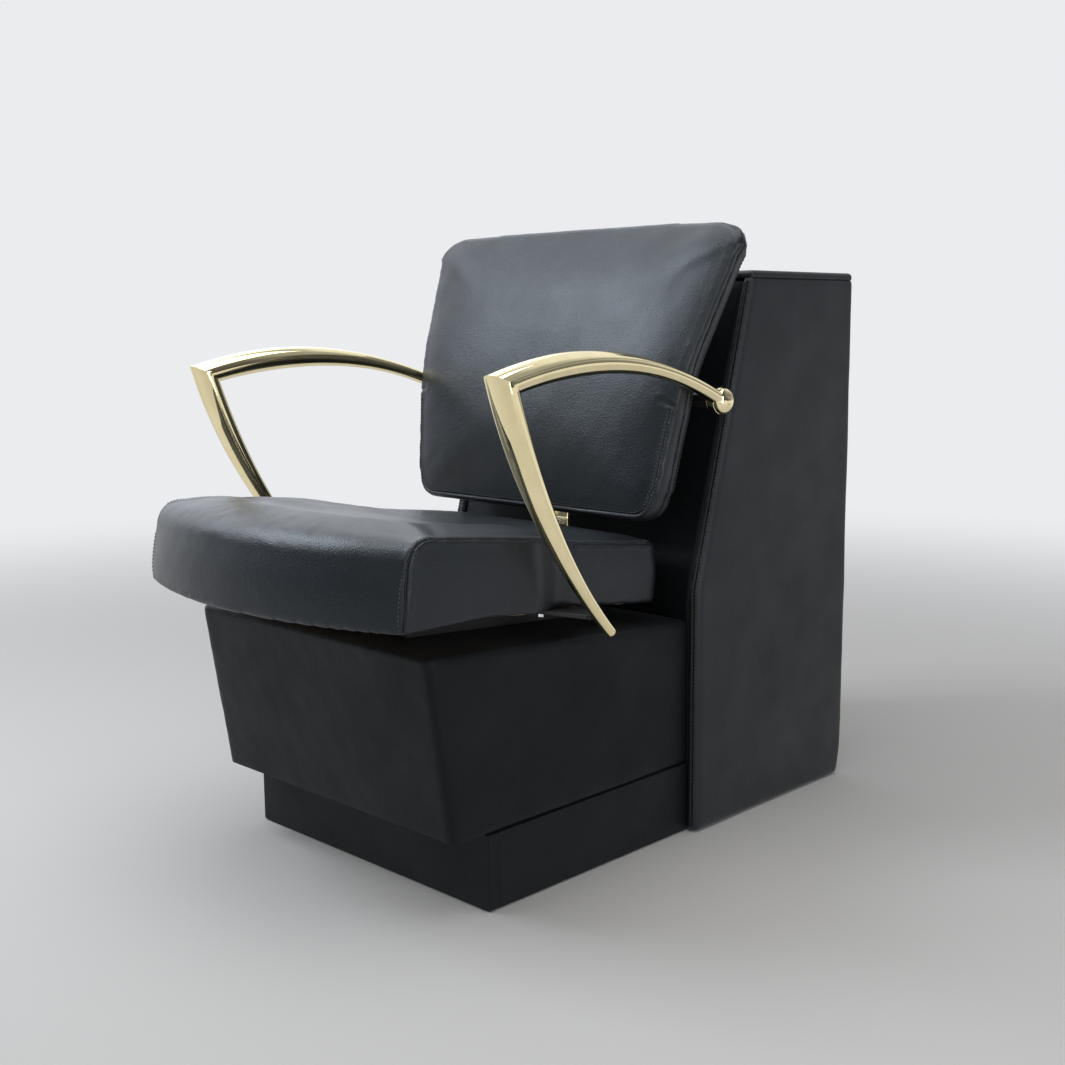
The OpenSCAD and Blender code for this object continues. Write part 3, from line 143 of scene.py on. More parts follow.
PAD_SHRINK, CLOTH_FRAMES = 1.5, 20
FABRIC = dict(quality=6, mass=0.4, tension_stiffness=18, compression_stiffness=18, shear_stiffness=8)
FABRIC |= dict(bending_stiffness=5, air_damping=4, use_pressure=True, vertex_group_mass="held")


def add(name, data):
    obj = bpy.data.objects.new(name, data)
    bpy.context.scene.collection.objects.link(obj)
    return obj


def smooth_faces(mesh):
    mesh.polygons.foreach_set("use_smooth", [True] * len(mesh.polygons))


def new_mesh(name, verts, faces, sharp=None):
    """A mesh object from points in millimetres. Edges that turn more than sharp degrees stay crisp."""
    mesh = bpy.data.meshes.new(name)
    mesh.from_pydata([tuple(c * MM for c in v) for v in verts], [], [tuple(f) for f in faces])
    mesh.validate()
    smooth_faces(mesh)
    if sharp:
        mesh.set_sharp_from_angle(angle=radians(sharp))
    return add(name, mesh)


def ring_solid(name, rings, low_tip, high_tip, sharp=None):
    """A closed solid through rings of equal length, with a fan at each end."""
    n, m = len(rings[0]), len(rings)
    verts = [p for r in rings for p in r] + [low_tip, high_tip]
    faces = []
    for k in range(m - 1):
        for i in range(n):
            j = (i + 1) % n
            faces.append((k * n + i, k * n + j, (k + 1) * n + j, (k + 1) * n + i))
    for i in range(n):
        j = (i + 1) % n
        faces.append((m * n, j, i))
        faces.append((m * n + 1, (m - 1) * n + i, (m - 1) * n + j))
    return new_mesh(name, verts, faces, sharp)


def coords(mesh):
    a = np.empty(len(mesh.vertices) * 3)
    mesh.vertices.foreach_get("co", a)
    return a.reshape(-1, 3) / MM


def set_coords(obj, p):
    obj.data.vertices.foreach_set("co", (np.asarray(p) * MM).ravel())
    obj.data.update()


def normals(mesh):
    a = np.empty(len(mesh.vertices) * 3)
    mesh.vertices.foreach_get("normal", a)
    return a.reshape(-1, 3)


def push(obj, out):
    """Moves each vertex along its normal by out(points, normals)."""
    p, n = coords(obj.data), normals(obj.data)
    set_coords(obj, p + n * out(p, n)[:, None])


def rumple(obj, lift, *waves, share=1.0):
    """A fixed unevenness of the skin. Each wave has an amount, a size and a seed."""
    push(obj, lambda p, n: (sum(a * ripple(p, size, seed) for a, size, seed in waves) + lift) * share)


def modify(obj, kind, **settings):
    """Adds a modifier with its settings."""
    mod = obj.modifiers.new(kind.lower(), kind)
    for name, value in settings.items():
        setattr(mod, name, value)


def bake(obj):
    """The object's modifiers become its mesh."""
    dg = bpy.context.evaluated_depsgraph_get()
    mesh = bpy.data.meshes.new_from_object(obj.evaluated_get(dg))
    mesh.name = obj.name
    obj.modifiers.clear()
    obj.data = mesh
    smooth_faces(mesh)


def thicken(obj, depth):
    """A sheet becomes a shell, depth deep behind its face."""
    modify(obj, "SOLIDIFY", thickness=depth * MM, offset=-1)
    bake(obj)


def remesh(obj, voxel):
    """Even faces of about voxel millimetres all over."""
    modify(obj, "REMESH", mode="VOXEL", voxel_size=voxel * MM, use_smooth_shade=True)
    bake(obj)


def relax(obj, factor, times, share=None):
    """Evens out the mesh. share is how far each vertex follows."""
    before = coords(obj.data)
    modify(obj, "SMOOTH", factor=factor, iterations=times)
    bake(obj)
    if share is not None:
        set_coords(obj, mix(before, coords(obj.data), share[:, None]))


def tree_of(points):
    tree = KDTree(len(points))
    for i, p in enumerate(points):
        tree.insert(Vector(p), i)
    tree.balance()
    return tree


def distances(points, line):
    tree = tree_of(line)
    return np.array([tree.find(Vector(p))[2] for p in points])


def inflate(obj, share, cap, pressure=2.5):
    """Swells a pad as cloth under pressure.

    share is how far each vertex follows, from 0, held, to 1. None moves further than cap.
    """
    push(obj, lambda p, n: -PAD_SHRINK * share)
    p0 = coords(obj.data)
    group = obj.vertex_groups.new(name="held")
    group.add([int(i) for i in np.nonzero(share < 0.03)[0]], 1.0, "REPLACE")
    cloth = obj.modifiers.new("cloth", "CLOTH")
    for name, value in FABRIC.items():
        setattr(cloth.settings, name, value)
    cloth.settings.uniform_pressure_force = pressure
    cloth.settings.effector_weights.gravity = 0
    cloth.collision_settings.use_collision = False
    scene = bpy.context.scene
    for f in range(1, CLOTH_FRAMES + 1):
        scene.frame_set(f)
    swollen = obj.evaluated_get(bpy.context.evaluated_depsgraph_get())
    p1 = coords(swollen.to_mesh())
    swollen.to_mesh_clear()
    obj.modifiers.clear()
    scene.frame_set(1)
    move = p1 - p0
    far = np.linalg.norm(move, axis=1, keepdims=True)
    move *= np.minimum(1, cap / np.maximum(far, 1e-9)) * share[:, None]
    set_coords(obj, p0 + move)


@contextmanager
def opened(obj):
    """The mesh of obj as a bmesh, which is written back at the end."""
    bm = bmesh.new()
    bm.from_mesh(obj.data)
    yield bm
    bm.to_mesh(obj.data)
    bm.free()
    smooth_faces(obj.data)


def refine(obj, points, *reaches):
    """Finer faces near the points, once for each distance in reaches."""
    tree = tree_of(points)
    for reach in reaches:
        with opened(obj) as bm:
            near = {v for v in bm.verts if tree.find(v.co / MM)[2] < reach}
            edges = [e for e in bm.edges if near.issuperset(e.verts)]
            bmesh.ops.subdivide_edges(bm, edges=edges, cuts=1, use_grid_fill=True, smooth=0.0)


def settle(points, obj):
    """The points moved to the surface of obj, and the directions out of it there."""
    tree = BVHTree.FromObject(obj, bpy.context.evaluated_depsgraph_get())
    hits = [tree.find_nearest(Vector(p) * MM)[:2] for p in points]
    return np.array([np.array(hit) / MM for hit, _ in hits]), np.array([np.array(n) for _, n in hits])


def resample(points, step, closed=False):
    """Points at equal steps along a line."""
    p = np.asarray(points, float)
    if closed:
        p = np.vstack([p, p[:1]])
    d = np.r_[0, np.cumsum(np.linalg.norm(np.diff(p, axis=0), axis=1))]
    n = max(2, int(round(d[-1] / step)))
    t = np.linspace(0, d[-1], n + 1)[: n if closed else n + 1]
    return np.c_[[np.interp(t, d, p[:, k]) for k in range(3)]].T


def groove(obj, points, depth, width, ridge, ridge_at):
    """A sewn valley along the points, with a low ridge on both sides of it."""

    def out(p, n):
        d = distances(p, points)
        high = ridge * np.exp(-(((d - ridge_at) / (ridge_at * 0.55)) ** 2))
        return high - depth * np.exp(-((d / width) ** 2))

    push(obj, out)


STITCH_PITCH, STITCH_LEN, THREAD_R, STITCH_LIFT, STITCH_DIP = 5.5, 3.7, 0.75, 0.3, 0.35
STITCH_SIDES, STITCH_ROWS = 6, 5


def stitches(path, host):
    """A row of thread stitches along a path on the surface of host, each dipping in at its ends."""
    ends, dirs = settle(resample(path, STITCH_PITCH), host)
    verts, faces = [], []
    for i in range(len(ends) - 1):
        a, b = ends[i], ends[i + 1]
        if not STITCH_PITCH * 0.5 <= np.linalg.norm(b - a) <= STITCH_PITCH * 1.6:
            continue
        t, n = unit(b - a), unit(dirs[i] + dirs[i + 1])
        s = np.cross(t, n)
        rows = []
        for f in np.linspace(-1, 1, STITCH_ROWS):
            lift = STITCH_LIFT * (1 - f * f) - STITCH_DIP * abs(f) ** 3
            q = (a + b) / 2 + t * f * STITCH_LEN / 2 + n * lift
            r = THREAD_R * sqrt(max(0.05, 1 - 0.85 * f**4))
            start = len(verts)
            verts += [q + r * (c * n + d * s) for c, d in circle(STITCH_SIDES)]
            rows.append(list(range(start, start + STITCH_SIDES)))
        for low, high in zip(rows, rows[1:]):
            for j in range(STITCH_SIDES):
                faces.append((low[j - 1], low[j], high[j], high[j - 1]))
        faces += [rows[0][::-1], rows[-1]]
    return new_mesh("row", verts, faces)


def join(name, objs):
    """One object from several."""
    verts, faces = [], []
    for o in objs:
        faces += [[len(verts) + v for v in f.vertices] for f in o.data.polygons]
        verts += list(coords(o.data))
        bpy.data.objects.remove(o)
    return new_mesh(name, verts, faces)


def sew(name, rows, host):
    """Rows of stitches on host, as one piece."""
    finish_piece(join(name, [stitches(row, host) for row in rows]), THREAD)


# Materials


def node(tree, kind, **values):
    n = tree.nodes.new("ShaderNode" + kind)
    for k, v in values.items():
        if k in n.inputs:
            n.inputs[k].default_value = v
        else:
            setattr(n, k, v)
    return n


def ramp(tree, source, stops):
    """A colour ramp. Each stop has a position and a colour, or a number for a grey."""
    n = node(tree, "ValToRGB")
    els = n.color_ramp.elements
    while len(els) < len(stops):
        els.new(0.5)
    for e, (pos, col) in zip(els, stops):
        e.position = pos
        e.color = (*(col if isinstance(col, tuple) else (col,) * 3), 1)
    tree.links.new(source, n.inputs[0])
    return n.outputs[0]


def wire(n, *sources):
    """Links the sources into the first inputs of a node, or sets those that are numbers."""
    for source, socket in zip(sources, n.inputs):
        if isinstance(source, float):
            socket.default_value = source
        else:
            n.id_data.links.new(source, socket)
    return n.outputs[0]


def calc(tree, operation, *sources):
    return wire(node(tree, "Math", operation=operation), *sources)


def map_range(tree, source, low, high, **values):
    n = node(tree, "MapRange", **{"From Min": low, "From Max": high}, **values)
    return wire(n, source)


class Surface:
    """A material with textures that lie on the object, ramps into its shader, and bumps."""

    def __init__(self, name, **settings):
        self.mat = bpy.data.materials.new(name)
        self.mat.use_nodes = True
        self.tree = self.mat.node_tree
        self.tree.nodes.clear()
        self.link = self.tree.links.new
        self.shader = node(self.tree, "BsdfPrincipled")
        self.out = node(self.tree, "OutputMaterial")
        self.link(self.shader.outputs[0], self.out.inputs[0])
        self.place = node(self.tree, "TexCoord").outputs["Object"]
        for socket, value in settings.items():
            self.shader.inputs[socket].default_value = value

    def texture(self, kind, stretch=None, **values):
        n = node(self.tree, "Tex" + kind, **values)
        source = self.place
        if stretch:
            scaled = node(self.tree, "Mapping", Scale=stretch)
            self.link(source, scaled.inputs["Vector"])
            source = scaled.outputs[0]
        self.link(source, n.inputs["Vector"])
        return n.outputs["Distance" if kind == "Voronoi" else "Fac"]

    def feed(self, socket, source, *stops):
        """A ramp into the shader."""
        self.link(ramp(self.tree, source, stops), self.shader.inputs[socket])

    def bump(self, height, strength, distance, under=None):
        b = node(self.tree, "Bump", Strength=strength, Distance=distance)
        self.link(height, b.inputs["Height"])
        if under:
            self.link(under, b.inputs["Normal"])
        self.link(b.outputs[0], self.shader.inputs["Normal"])
        return b.outputs[0]


HIDE_SHEEN = {"Specular Tint": (0.86, 0.93, 1, 1), "Sheen Weight": 0.01, "Sheen Roughness": 0.4}


def leather(name, dark, light, rough, crease, gloss):
    """Coated upholstery leather: a fine pebbled grain, soft creases and faint mottling."""
    s = Surface(name, **{"Specular IOR Level": gloss}, **HIDE_SHEEN)
    cells = s.texture("Voronoi", feature="F1", Scale=460.0, Randomness=0.9)
    fine = s.texture("Noise", Scale=1500.0, Detail=3.0)
    folds = s.texture("Noise", Scale=60.0, Detail=4.0, Roughness=0.6, Distortion=0.8)
    blotch = s.texture("Noise", Scale=9.0, Detail=3.0, Roughness=0.55)
    s.feed("Base Color", blotch, (0.3, dark), (0.72, light))
    s.feed("Roughness", blotch, (0.3, rough[1]), (0.7, rough[0]))
    grain = calc(s.tree, "MULTIPLY_ADD", fine, 0.35, calc(s.tree, "MULTIPLY", cells, 1.3))
    s.bump(folds, crease, 0.0009, s.bump(grain, 0.5, 0.0004))
    return s.mat


def coat(name, dark, light, rough, fine, broad, bump, spread=(0.3, 0.7, 0.3), **settings):
    """A surface with the noise broad for its clouding and the noise fine for its relief."""
    s = Surface(name, **settings)
    cloud = s.texture("Noise", **broad)
    s.feed("Base Color", cloud, (spread[0], dark), (spread[1], light))
    s.feed("Roughness", cloud, (spread[2], rough[0]), (0.7, rough[1]))
    s.bump(s.texture("Noise", **fine), *bump)
    return s.mat


def metal(name, *looks):
    """Polished metal with fine draw lines."""
    lines = dict(stretch=(14.0, 1200.0, 1200.0), Scale=1.0, Detail=2.0)
    cloud = dict(Scale=22.0, Detail=4.0, Roughness=0.6)
    return coat(name, *looks, lines, cloud, (0.04, 0.0001), (0.3, 0.7, 0.35), Metallic=1.0)


def plain(name, dark, light, rough, scale, bump):
    """Paint, thread or moulded plastic with a fine orange-peel texture."""
    peel, cloud = dict(Scale=scale, Detail=2.0), dict(Scale=18.0, Detail=4.0)
    return coat(name, dark, light, rough, peel, cloud, (bump, 0.0002))


CUSHION = leather(
    "cushion_leather", (0.0055, 0.0068, 0.0085), (0.009, 0.011, 0.0138), (0.31, 0.41), crease=0.35, gloss=0.4
)
BOX_HIDE = leather(
    "box_leather", (0.009, 0.0105, 0.012), (0.0135, 0.0157, 0.0176), (0.42, 0.54), crease=0.3, gloss=0.34
)
# The base's own darker leather, also put on the box front as painted shade
BASE_AND_SHADE_HIDE = leather(
    "base_and_shade_leather", (0.0042, 0.005, 0.0058), (0.007, 0.0084, 0.0094), (0.4, 0.5), crease=0.3, gloss=0.14
)
THREAD = plain("thread", (0.022, 0.024, 0.028), (0.038, 0.042, 0.048), (0.5, 0.65), 2500.0, 0.5)
GOLD = metal("pale_gold", (0.88, 0.76, 0.45), (0.97, 0.85, 0.53), (0.03, 0.07))
CHROME = metal("chrome", (0.74, 0.75, 0.77), (0.85, 0.86, 0.88), (0.08, 0.16))
STEEL = plain("painted_steel", (0.012, 0.012, 0.013), (0.022, 0.022, 0.024), (0.35, 0.5), 900.0, 0.2)
BOARD = plain("painted_board", (0.014, 0.014, 0.015), (0.026, 0.026, 0.028), (0.6, 0.75), 260.0, 0.4)
GRAIN = dict(stretch=(6.0, 70.0, 140.0), Scale=1.4, Detail=6.0, Roughness=0.65, Distortion=0.6)
PLY_LOOKS = (0.34, 0.23, 0.13), (0.56, 0.42, 0.27), (0.72, 0.55)
PLY = coat("plywood", *PLY_LOOKS, GRAIN, GRAIN, (0.3, 0.0003), (0.32, 0.62, 0.3))
NYLON = plain("nylon", 0.02, 0.04, (0.45, 0.6), 500.0, 0.2)

SLOT_OF = dict(vinyl_cushion=CUSHION, vinyl_box=BOX_HIDE, vinyl_base=BASE_AND_SHADE_HIDE, gold_tube=GOLD, chrome=CHROME)
SLOT_OF |= dict(painted_steel=STEEL, painted_board=BOARD, plywood=PLY, nylon=NYLON)


def finish_piece(obj, mat, replaces=()):
    obj.data.materials.clear()
    obj.data.materials.append(mat)
    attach(obj, "root")
    if replaces:
        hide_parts(*replaces)


# The frame's own pieces get their finish, and a fine edge where a real one has it
EDGES_MM = {
    2.0: ("plinth_front", "plinth_right_side", "plinth_left_side", "box_heel_rail"),
    1.2: ("back_upright",),
    1.0: ("seat_risers", "strap_right", "strap_left"),
    0.8: ("box_rear_panel", "tube_saddle"),
    0.4: ("strap_bolts", "frame_bolts"),
}
EDGE_OF = {name: width for width, names in EDGES_MM.items() for name in names}
WELD_DISTANCE = 0.00001
for part in frame["record"]["subparts"]:
    obj = NODES[part["node"]]
    obj.data.materials.clear()
    obj.data.materials.append(SLOT_OF[part["material_slot"]])
    edge = EDGE_OF.get(part["node"])
    if edge:
        modify(obj, "WELD", merge_threshold=WELD_DISTANCE)
        modify(obj, "BEVEL", width=edge * MM, segments=2, limit_method="ANGLE", angle_limit=35 * RAD)

# Seat cushion

SEAT_SLOPE = tan(radians(SEAT_RAKE))
BOW_R = bow_radius(SEAT_W / 2, SEAT_BOW)
SEAT_MID_Y = (FRONT_Y + SEAT_END_Y) / 2
FRONT_STEPS, CORNER_STEPS, SIDE_STEPS, SCOOP_STEPS = 30, 8, 30, 14
SEAM_DEPTH, SEAM_TURN_R = 1.5, 46


def board_low(y):
    return SEAT_LOW_H + (SEAT_END_Y - y) * SEAT_SLOPE


def seat_half(y):
    return mix(SEAT_W, SEAT_REAR_W, smooth((y - SCOOP_Y + SCOOP_LEN) / SCOOP_LEN)) / 2


def seat_plan(front_in, inset):
    """The outline of the seat from above, set in by front_in at the front and by inset elsewhere."""
    hw = SEAT_W / 2 - inset
    c = BOW_R - SEAT_CORNER_R
    back = sqrt(c * c - (hw - SEAT_CORNER_R) ** 2)
    turn = atan((hw - SEAT_CORNER_R) / back)
    y0 = FRONT_Y + front_in
    corner_y = y0 + BOW_R - back
    end_y = SEAT_END_Y - inset
    rw = SEAT_REAR_W / 2 - inset
    r = SEAT_REAR_T / 3
    front = np.linspace(0, turn, FRONT_STEPS + 1)[:-1]
    half = [(BOW_R * sin(a), y0 + BOW_R * (1 - cos(a))) for a in front]
    half += arc(hw - SEAT_CORNER_R, corner_y, SEAT_CORNER_R, degrees(turn) - 90, 0, CORNER_STEPS)
    side = list(np.linspace(corner_y, WIDE_Y, SIDE_STEPS + 1)[1:-1])
    side += list(np.linspace(WIDE_Y, SCOOP_Y, SCOOP_STEPS + 1))
    side += list(np.linspace(SCOOP_Y, end_y - r, 17)[1:-1])
    half += [(seat_half(y) - inset, y) for y in side]
    half += arc(rw - r, end_y - r, r, 0, 90, 7)
    half += [(x, end_y) for x in np.linspace(rw - r, 0, 20)[1:]]
    return half + [(-x, y) for x, y in half[-2:0:-1]]


SEAT_HALF_N = len(seat_plan(0, 0)) // 2 + 1
SIDE_SHARE = [min(1, max(0, (i - FRONT_STEPS) / CORNER_STEPS)) for i in range(SEAT_HALF_N)]
SIDE_SHARE += SIDE_SHARE[-2:0:-1]


def seam_h(y):
    share = (SEAT_END_Y - y) / SEAT_D
    return board_low(y) + mix(SEAT_REAR_T, SEAT_FRONT_T, smooth((share - 0.3) / 0.24))


def cover_low(y):
    return min(board_low(y) + GAP, SEAT_FRONT_LOW_H)


def face_y(x):
    return FRONT_Y + BOW_R - sqrt(BOW_R**2 - min(abs(x), SEAT_W / 2) ** 2)


def seat_top(x, y):
    left = max(0, SEAT_NOSE_R - max(0, y - face_y(x) - SEAT_FACE_LEAN))
    return seam_h(y) - SEAT_NOSE_R + sqrt(SEAT_NOSE_R**2 - left**2)


def edge_h(x, y, i, a):
    return seat_top(x, y) - SEAM_R * (1 - sin(a)) * SIDE_SHARE[i]


def seat_rings():
    def lifted(pts, f):
        return [(x, y, f(x, y, i)) for i, (x, y) in enumerate(pts)]

    pocket = SEAT_BOARD_IN - GAP
    rings = [lifted(seat_plan(pocket, pocket), lambda x, y, i: board_low(y) + SEAT_BOARD_T + GAP)]
    for d in (pocket, SEAT_LOW_R * 0.5, SEAT_LOW_R * 0.2):
        drop = SEAT_LOW_R * (1 - sqrt(1 - (1 - min(1, d / SEAT_LOW_R)) ** 2))
        rings.append(lifted(seat_plan(d, d), lambda x, y, i: cover_low(y) + drop))
    rings.append(lifted(seat_plan(0, 0), lambda x, y, i: cover_low(y) + SEAT_LOW_R))
    for s in np.linspace(0, 1, 9)[1:-1]:
        d = -SEAT_BULGE * (1 - (2 * s - 1) ** 2)
        plan = seat_plan(s * SEAT_FACE_LEAN + d, d)
        rings.append(lifted(plan, lambda x, y, i: mix(cover_low(y) + SEAT_LOW_R, edge_h(x, y, i, 0), s)))
    for a in np.radians(np.linspace(0, 90, 10)):
        d = SEAM_R * (1 - cos(a))
        plan = seat_plan(SEAT_FACE_LEAN + SEAT_NOSE_R * (1 - cos(a)), d)
        rings.append(lifted(plan, lambda x, y, i: edge_h(x, y, i, a)))
    known = [0, 0.2, 0.4, 0.6, 0.76, 0.87, 0.95, 1]
    rolls = [-SEAT_HOLLOW * f for f in (1, 0.7, 0.2)] + [SEAT_ROLL_H * f for f in (0.35, 0.86, 1, 0.62, 0)]
    for s in (0.985, 0.965, 0.94, 0.91, 0.87, 0.82, 0.76, 0.69, 0.6, 0.5, 0.4, 0.3, 0.2, 0.1):
        lift = np.interp(s, known, rolls)
        ring = []
        for x, y in seat_plan(SEAT_FACE_LEAN + SEAT_NOSE_R, SEAM_R):
            qx, qy = x * s, mix(SEAT_MID_Y, y, s)
            ring.append((qx, qy, seat_top(qx, qy) + lift))
        rings.append(ring)
    return rings


def seat_seam(inset):
    """The line sewn round the right side of the seat, up its front corner and along its top.

    inset moves the line on to the panel that covers the top and the front.
    """
    side = SEAT_W / 2 - SEAM_DEPTH - inset
    y0 = face_y(side) + SEAT_CORNER_R * 0.25 + inset * 0.1
    low, top = cover_low(y0) + 1, seam_h(y0 + 30)
    knee = top - SEAM_TURN_R
    pts = []
    for z in np.linspace(low, knee, 16)[:-1]:
        pts.append((side, y0 + (z - low) / (top - low) * SEAT_FACE_LEAN, z))
    yc = y0 + SEAT_FACE_LEAN * (knee - low) / (top - low)
    for a in np.radians(np.linspace(0, 90, 14)):
        y = yc + (SEAM_TURN_R - inset * 0.6) * (1 - cos(a)) + inset * 0.6
        pts.append((side, y, knee + SEAM_TURN_R * sin(a) - inset * 0.4 * (1 - sin(a))))
    for y in np.linspace(yc + SEAM_TURN_R, SEAT_END_Y - 30, 60)[1:]:
        pts.append((seat_half(y) - SEAM_DEPTH - inset, y, seam_h(y) - SEAM_DEPTH))
    return np.array(pts)


def seat_rear_seam(inset):
    """The right half of the line sewn along the rear."""
    rw, r, y1 = SEAT_REAR_W / 2 - SEAM_DEPTH - inset, SEAT_REAR_T / 3, SEAT_END_Y - SEAM_DEPTH - inset
    pts = arc(rw - r, y1 - r, r, 0, 90, 8) + [(x, y1) for x in np.linspace(rw - r, 0, 20)[1:]]
    return np.array([(x, y, seam_h(y) - SEAM_DEPTH) for x, y in pts])


def round_seat(inset):
    """Both lines and their mirror images, as one."""
    half = np.vstack([seat_seam(inset), seat_rear_seam(inset)])
    return np.vstack([half, half[::-1] * [-1, 1, 1]])


def build_seat():
    y = SEAT_MID_Y
    tips = (0, y, board_low(y) + SEAT_BOARD_T + GAP), (0, y, seam_h(y) - SEAT_HOLLOW)
    seat = ring_solid("seat_skin", seat_rings(), *tips)
    remesh(seat, 6.0)
    seam = resample(round_seat(0.0), 2.0)
    p = coords(seat.data)
    over_low = p[:, 2] - np.array([cover_low(y) for y in p[:, 1]])
    share = smooth((over_low - 2) / 18) * smooth((distances(p, seam) - 3) / 12)
    inflate(seat, share, 4.5)
    relax(seat, 0.5, 4, np.maximum(share, 0.35))
    line = settle(seam, seat)[0]
    refine(seat, line, 15, 8, 4)
    groove(seat, line, 2.6, 1.6, 0.3, 5.0)

    def wave(p, n):
        return 0.45 * ripple(p, 90, 2.0) * smooth((n[:, 2] + 0.2) / 0.8) + 0.2 * ripple(p, 34, 5.0)

    push(seat, wave)
    finish_piece(seat, CUSHION, ["seat_cushion"])
    sew("seat_stitches", [round_seat(6.0)], seat)


build_seat()

# Back

BACK_ROLL, SEAM_W, LOW_SEAM_V, LOW_STITCH_V = 1.6, -5, 174, 172
# How far out the rings of the two faces lie, as a share of the outline
FRONT_SHARES = 0.08, 0.16, 0.25, 0.35, 0.45, 0.55, 0.65, 0.73, 0.8, 0.86, 0.91, 0.95, 0.98
REAR_SHARES = [1, 0.992, 0.985, 0.97, 0.95, 0.92, 0.88, 0.84, 0.78, 0.72, 0.65]
REAR_SHARES += [0.58, 0.5, 0.42, 0.34, 0.26, 0.18, 0.1]
BEND_Y = SEAT_END_Y - BACK_LOW_IN + (BACK_BEND_H - BACK_LOW_H) * tan(LEAN_LOW * RAD)
BEND_R = BEND_LEN / ((LEAN_TOP - LEAN_LOW) * RAD)
BEND_HALF = BEND_R * tan((LEAN_TOP - LEAN_LOW) * RAD / 2)


def heading(lean):
    """The way up the back, as (y, z), where it leans by lean degrees."""
    return vec(sin(lean * RAD), cos(lean * RAD))


BEND_START = vec(BEND_Y, BACK_BEND_H) - BEND_HALF * heading(LEAN_LOW)
BEND_END = vec(BEND_Y, BACK_BEND_H) + BEND_HALF * heading(LEAN_TOP)
LOW_RUN = (BEND_START[1] - BACK_LOW_H) / cos(LEAN_LOW * RAD)
TOP_RUN = (BACK_TOP_H - BEND_END[1]) / cos(LEAN_TOP * RAD)
RUN = LOW_RUN + BEND_LEN + TOP_RUN
MID_V = RUN / 2


def back_place(v, w):
    """The point (y, z) at v up the back and w behind its front seam."""
    a = (LEAN_LOW + (LEAN_TOP - LEAN_LOW) * min(1, max(0, (v - LOW_RUN) / BEND_LEN))) * RAD
    low = LEAN_LOW * RAD
    if v <= LOW_RUN:
        base = BEND_START + (v - LOW_RUN) * heading(LEAN_LOW)
    elif v >= LOW_RUN + BEND_LEN:
        base = BEND_END + (v - LOW_RUN - BEND_LEN) * heading(LEAN_TOP)
    else:
        base = BEND_START + BEND_R * vec(cos(low) - cos(a), sin(a) - sin(low))
    return base + w * vec(cos(a), -sin(a))


def back_half(v):
    s, m = v / RUN, (LOW_RUN + BEND_LEN / 2) / RUN
    if s < m:
        return mix(BACK_LOW_W, BACK_MID_W, s / m) / 2
    return mix(BACK_MID_W, BACK_TOP_W, (s - m) / (1 - m)) / 2


def edge_t(v):
    return mix(BACK_LOW_T, BACK_TOP_T, v / RUN)


def back_point(x, v, w, wing=BACK_WING):
    y, z = back_place(v, w - wing * (x / (BACK_TOP_W / 2)) ** 2)
    return (x, y, z)


def back_half_outline():
    r, lw, tw = BACK_CORNER_R, back_half(0), back_half(RUN)
    top_v = RUN - BACK_ARCH
    pts = [(x, 0) for x in np.linspace(0, lw - r, 25)[:-1]]
    pts += arc(lw - r, r, r, -90, 0, 8)
    for s in np.linspace(0, 1, 46)[1:-1]:
        v = mix(r, top_v - r, s)
        pts.append((back_half(v), v))
    pts += arc(tw - r, top_v - r, r, 0, 82, 8)
    pts += [(x, RUN - BACK_ARCH * (x / tw) ** 2) for x in np.linspace(tw - r, 0, 28)[1:]]
    return pts


BACK_OUT = back_half_outline()
BACK_OUT = np.array(BACK_OUT + [(-x, v) for x, v in BACK_OUT[-2:0:-1]])
BACK_NORMALS = outline_normals(BACK_OUT)


def back_ring(d, s, depth, wing=BACK_WING):
    q = BACK_OUT - d * BACK_NORMALS
    return [back_point(x * s, mix(MID_V, v, s), depth(mix(MID_V, v, s)), wing) for x, v in q]


def back_measure(obj):
    """The points of obj, their length up the back, how far they lie behind its front seam, the way
    that is, and how far they lie in from its side."""
    p = coords(obj.data)
    v = np.linspace(0, RUN, 300)
    line = np.array([back_place(t, 0) for t in v])
    out = np.array([back_place(t, 1) for t in v]) - line
    k = np.array([np.argmin(((line - q) ** 2).sum(1)) for q in p[:, 1:]])
    depth = ((p[:, 1:] - line[k]) * out[k]).sum(1) + BACK_WING * (p[:, 0] / (BACK_TOP_W / 2)) ** 2
    side = np.array([back_half(t) for t in v[k]]) - np.abs(p[:, 0])
    return p, v[k], depth, out[k], side


def round_front(obj, radius):
    """The front of the two upper corners rolls back in a wider arc than the corner behind it has."""
    p, v, depth, _, side = back_measure(obj)
    top = RUN - BACK_ARCH * (p[:, 0] / back_half(RUN)) ** 2 - v
    far = np.c_[np.maximum(radius - side, 0), np.maximum(radius - top, 0)]
    d = np.linalg.norm(far, axis=1)
    way = far / np.maximum(d, 1e-6)[:, None]
    e, along = radius - BACK_CORNER_R, way.sum(1)
    bare = e * along + np.sqrt(np.maximum((e * along) ** 2 - 2 * e**2 + BACK_CORNER_R**2, 0))
    bare = np.minimum(bare, radius / np.maximum(way.max(1), 1e-6))
    share = smooth(1 - depth / (0.8 * edge_t(RUN))) * (far.min(1) > 0)
    back_off = np.minimum(d / bare, 1.1) ** 2 * np.maximum(bare - radius, 0) * share
    p[:, 0] -= np.sign(p[:, 0]) * back_off * way[:, 0]
    p[:, 1:] -= (back_off * way[:, 1])[:, None] * heading(LEAN_TOP)
    set_coords(obj, p)


def thin_rim(obj):
    """The rear of the back comes forward at its rim, most of all at the two upper corners."""
    p, v, depth, out, side = back_measure(obj)
    top = RUN - v
    corner = smooth((70 - np.maximum(side, top)) / 50)
    rim = smooth((20 - np.minimum(side, top)) / 17)
    upper = smooth((v - 150) / 120)
    share = rim * np.maximum(0.22 * upper, 0.5 * corner)
    p[:, 1:] -= out * (np.maximum(depth, 0) * share)[:, None]
    set_coords(obj, p)


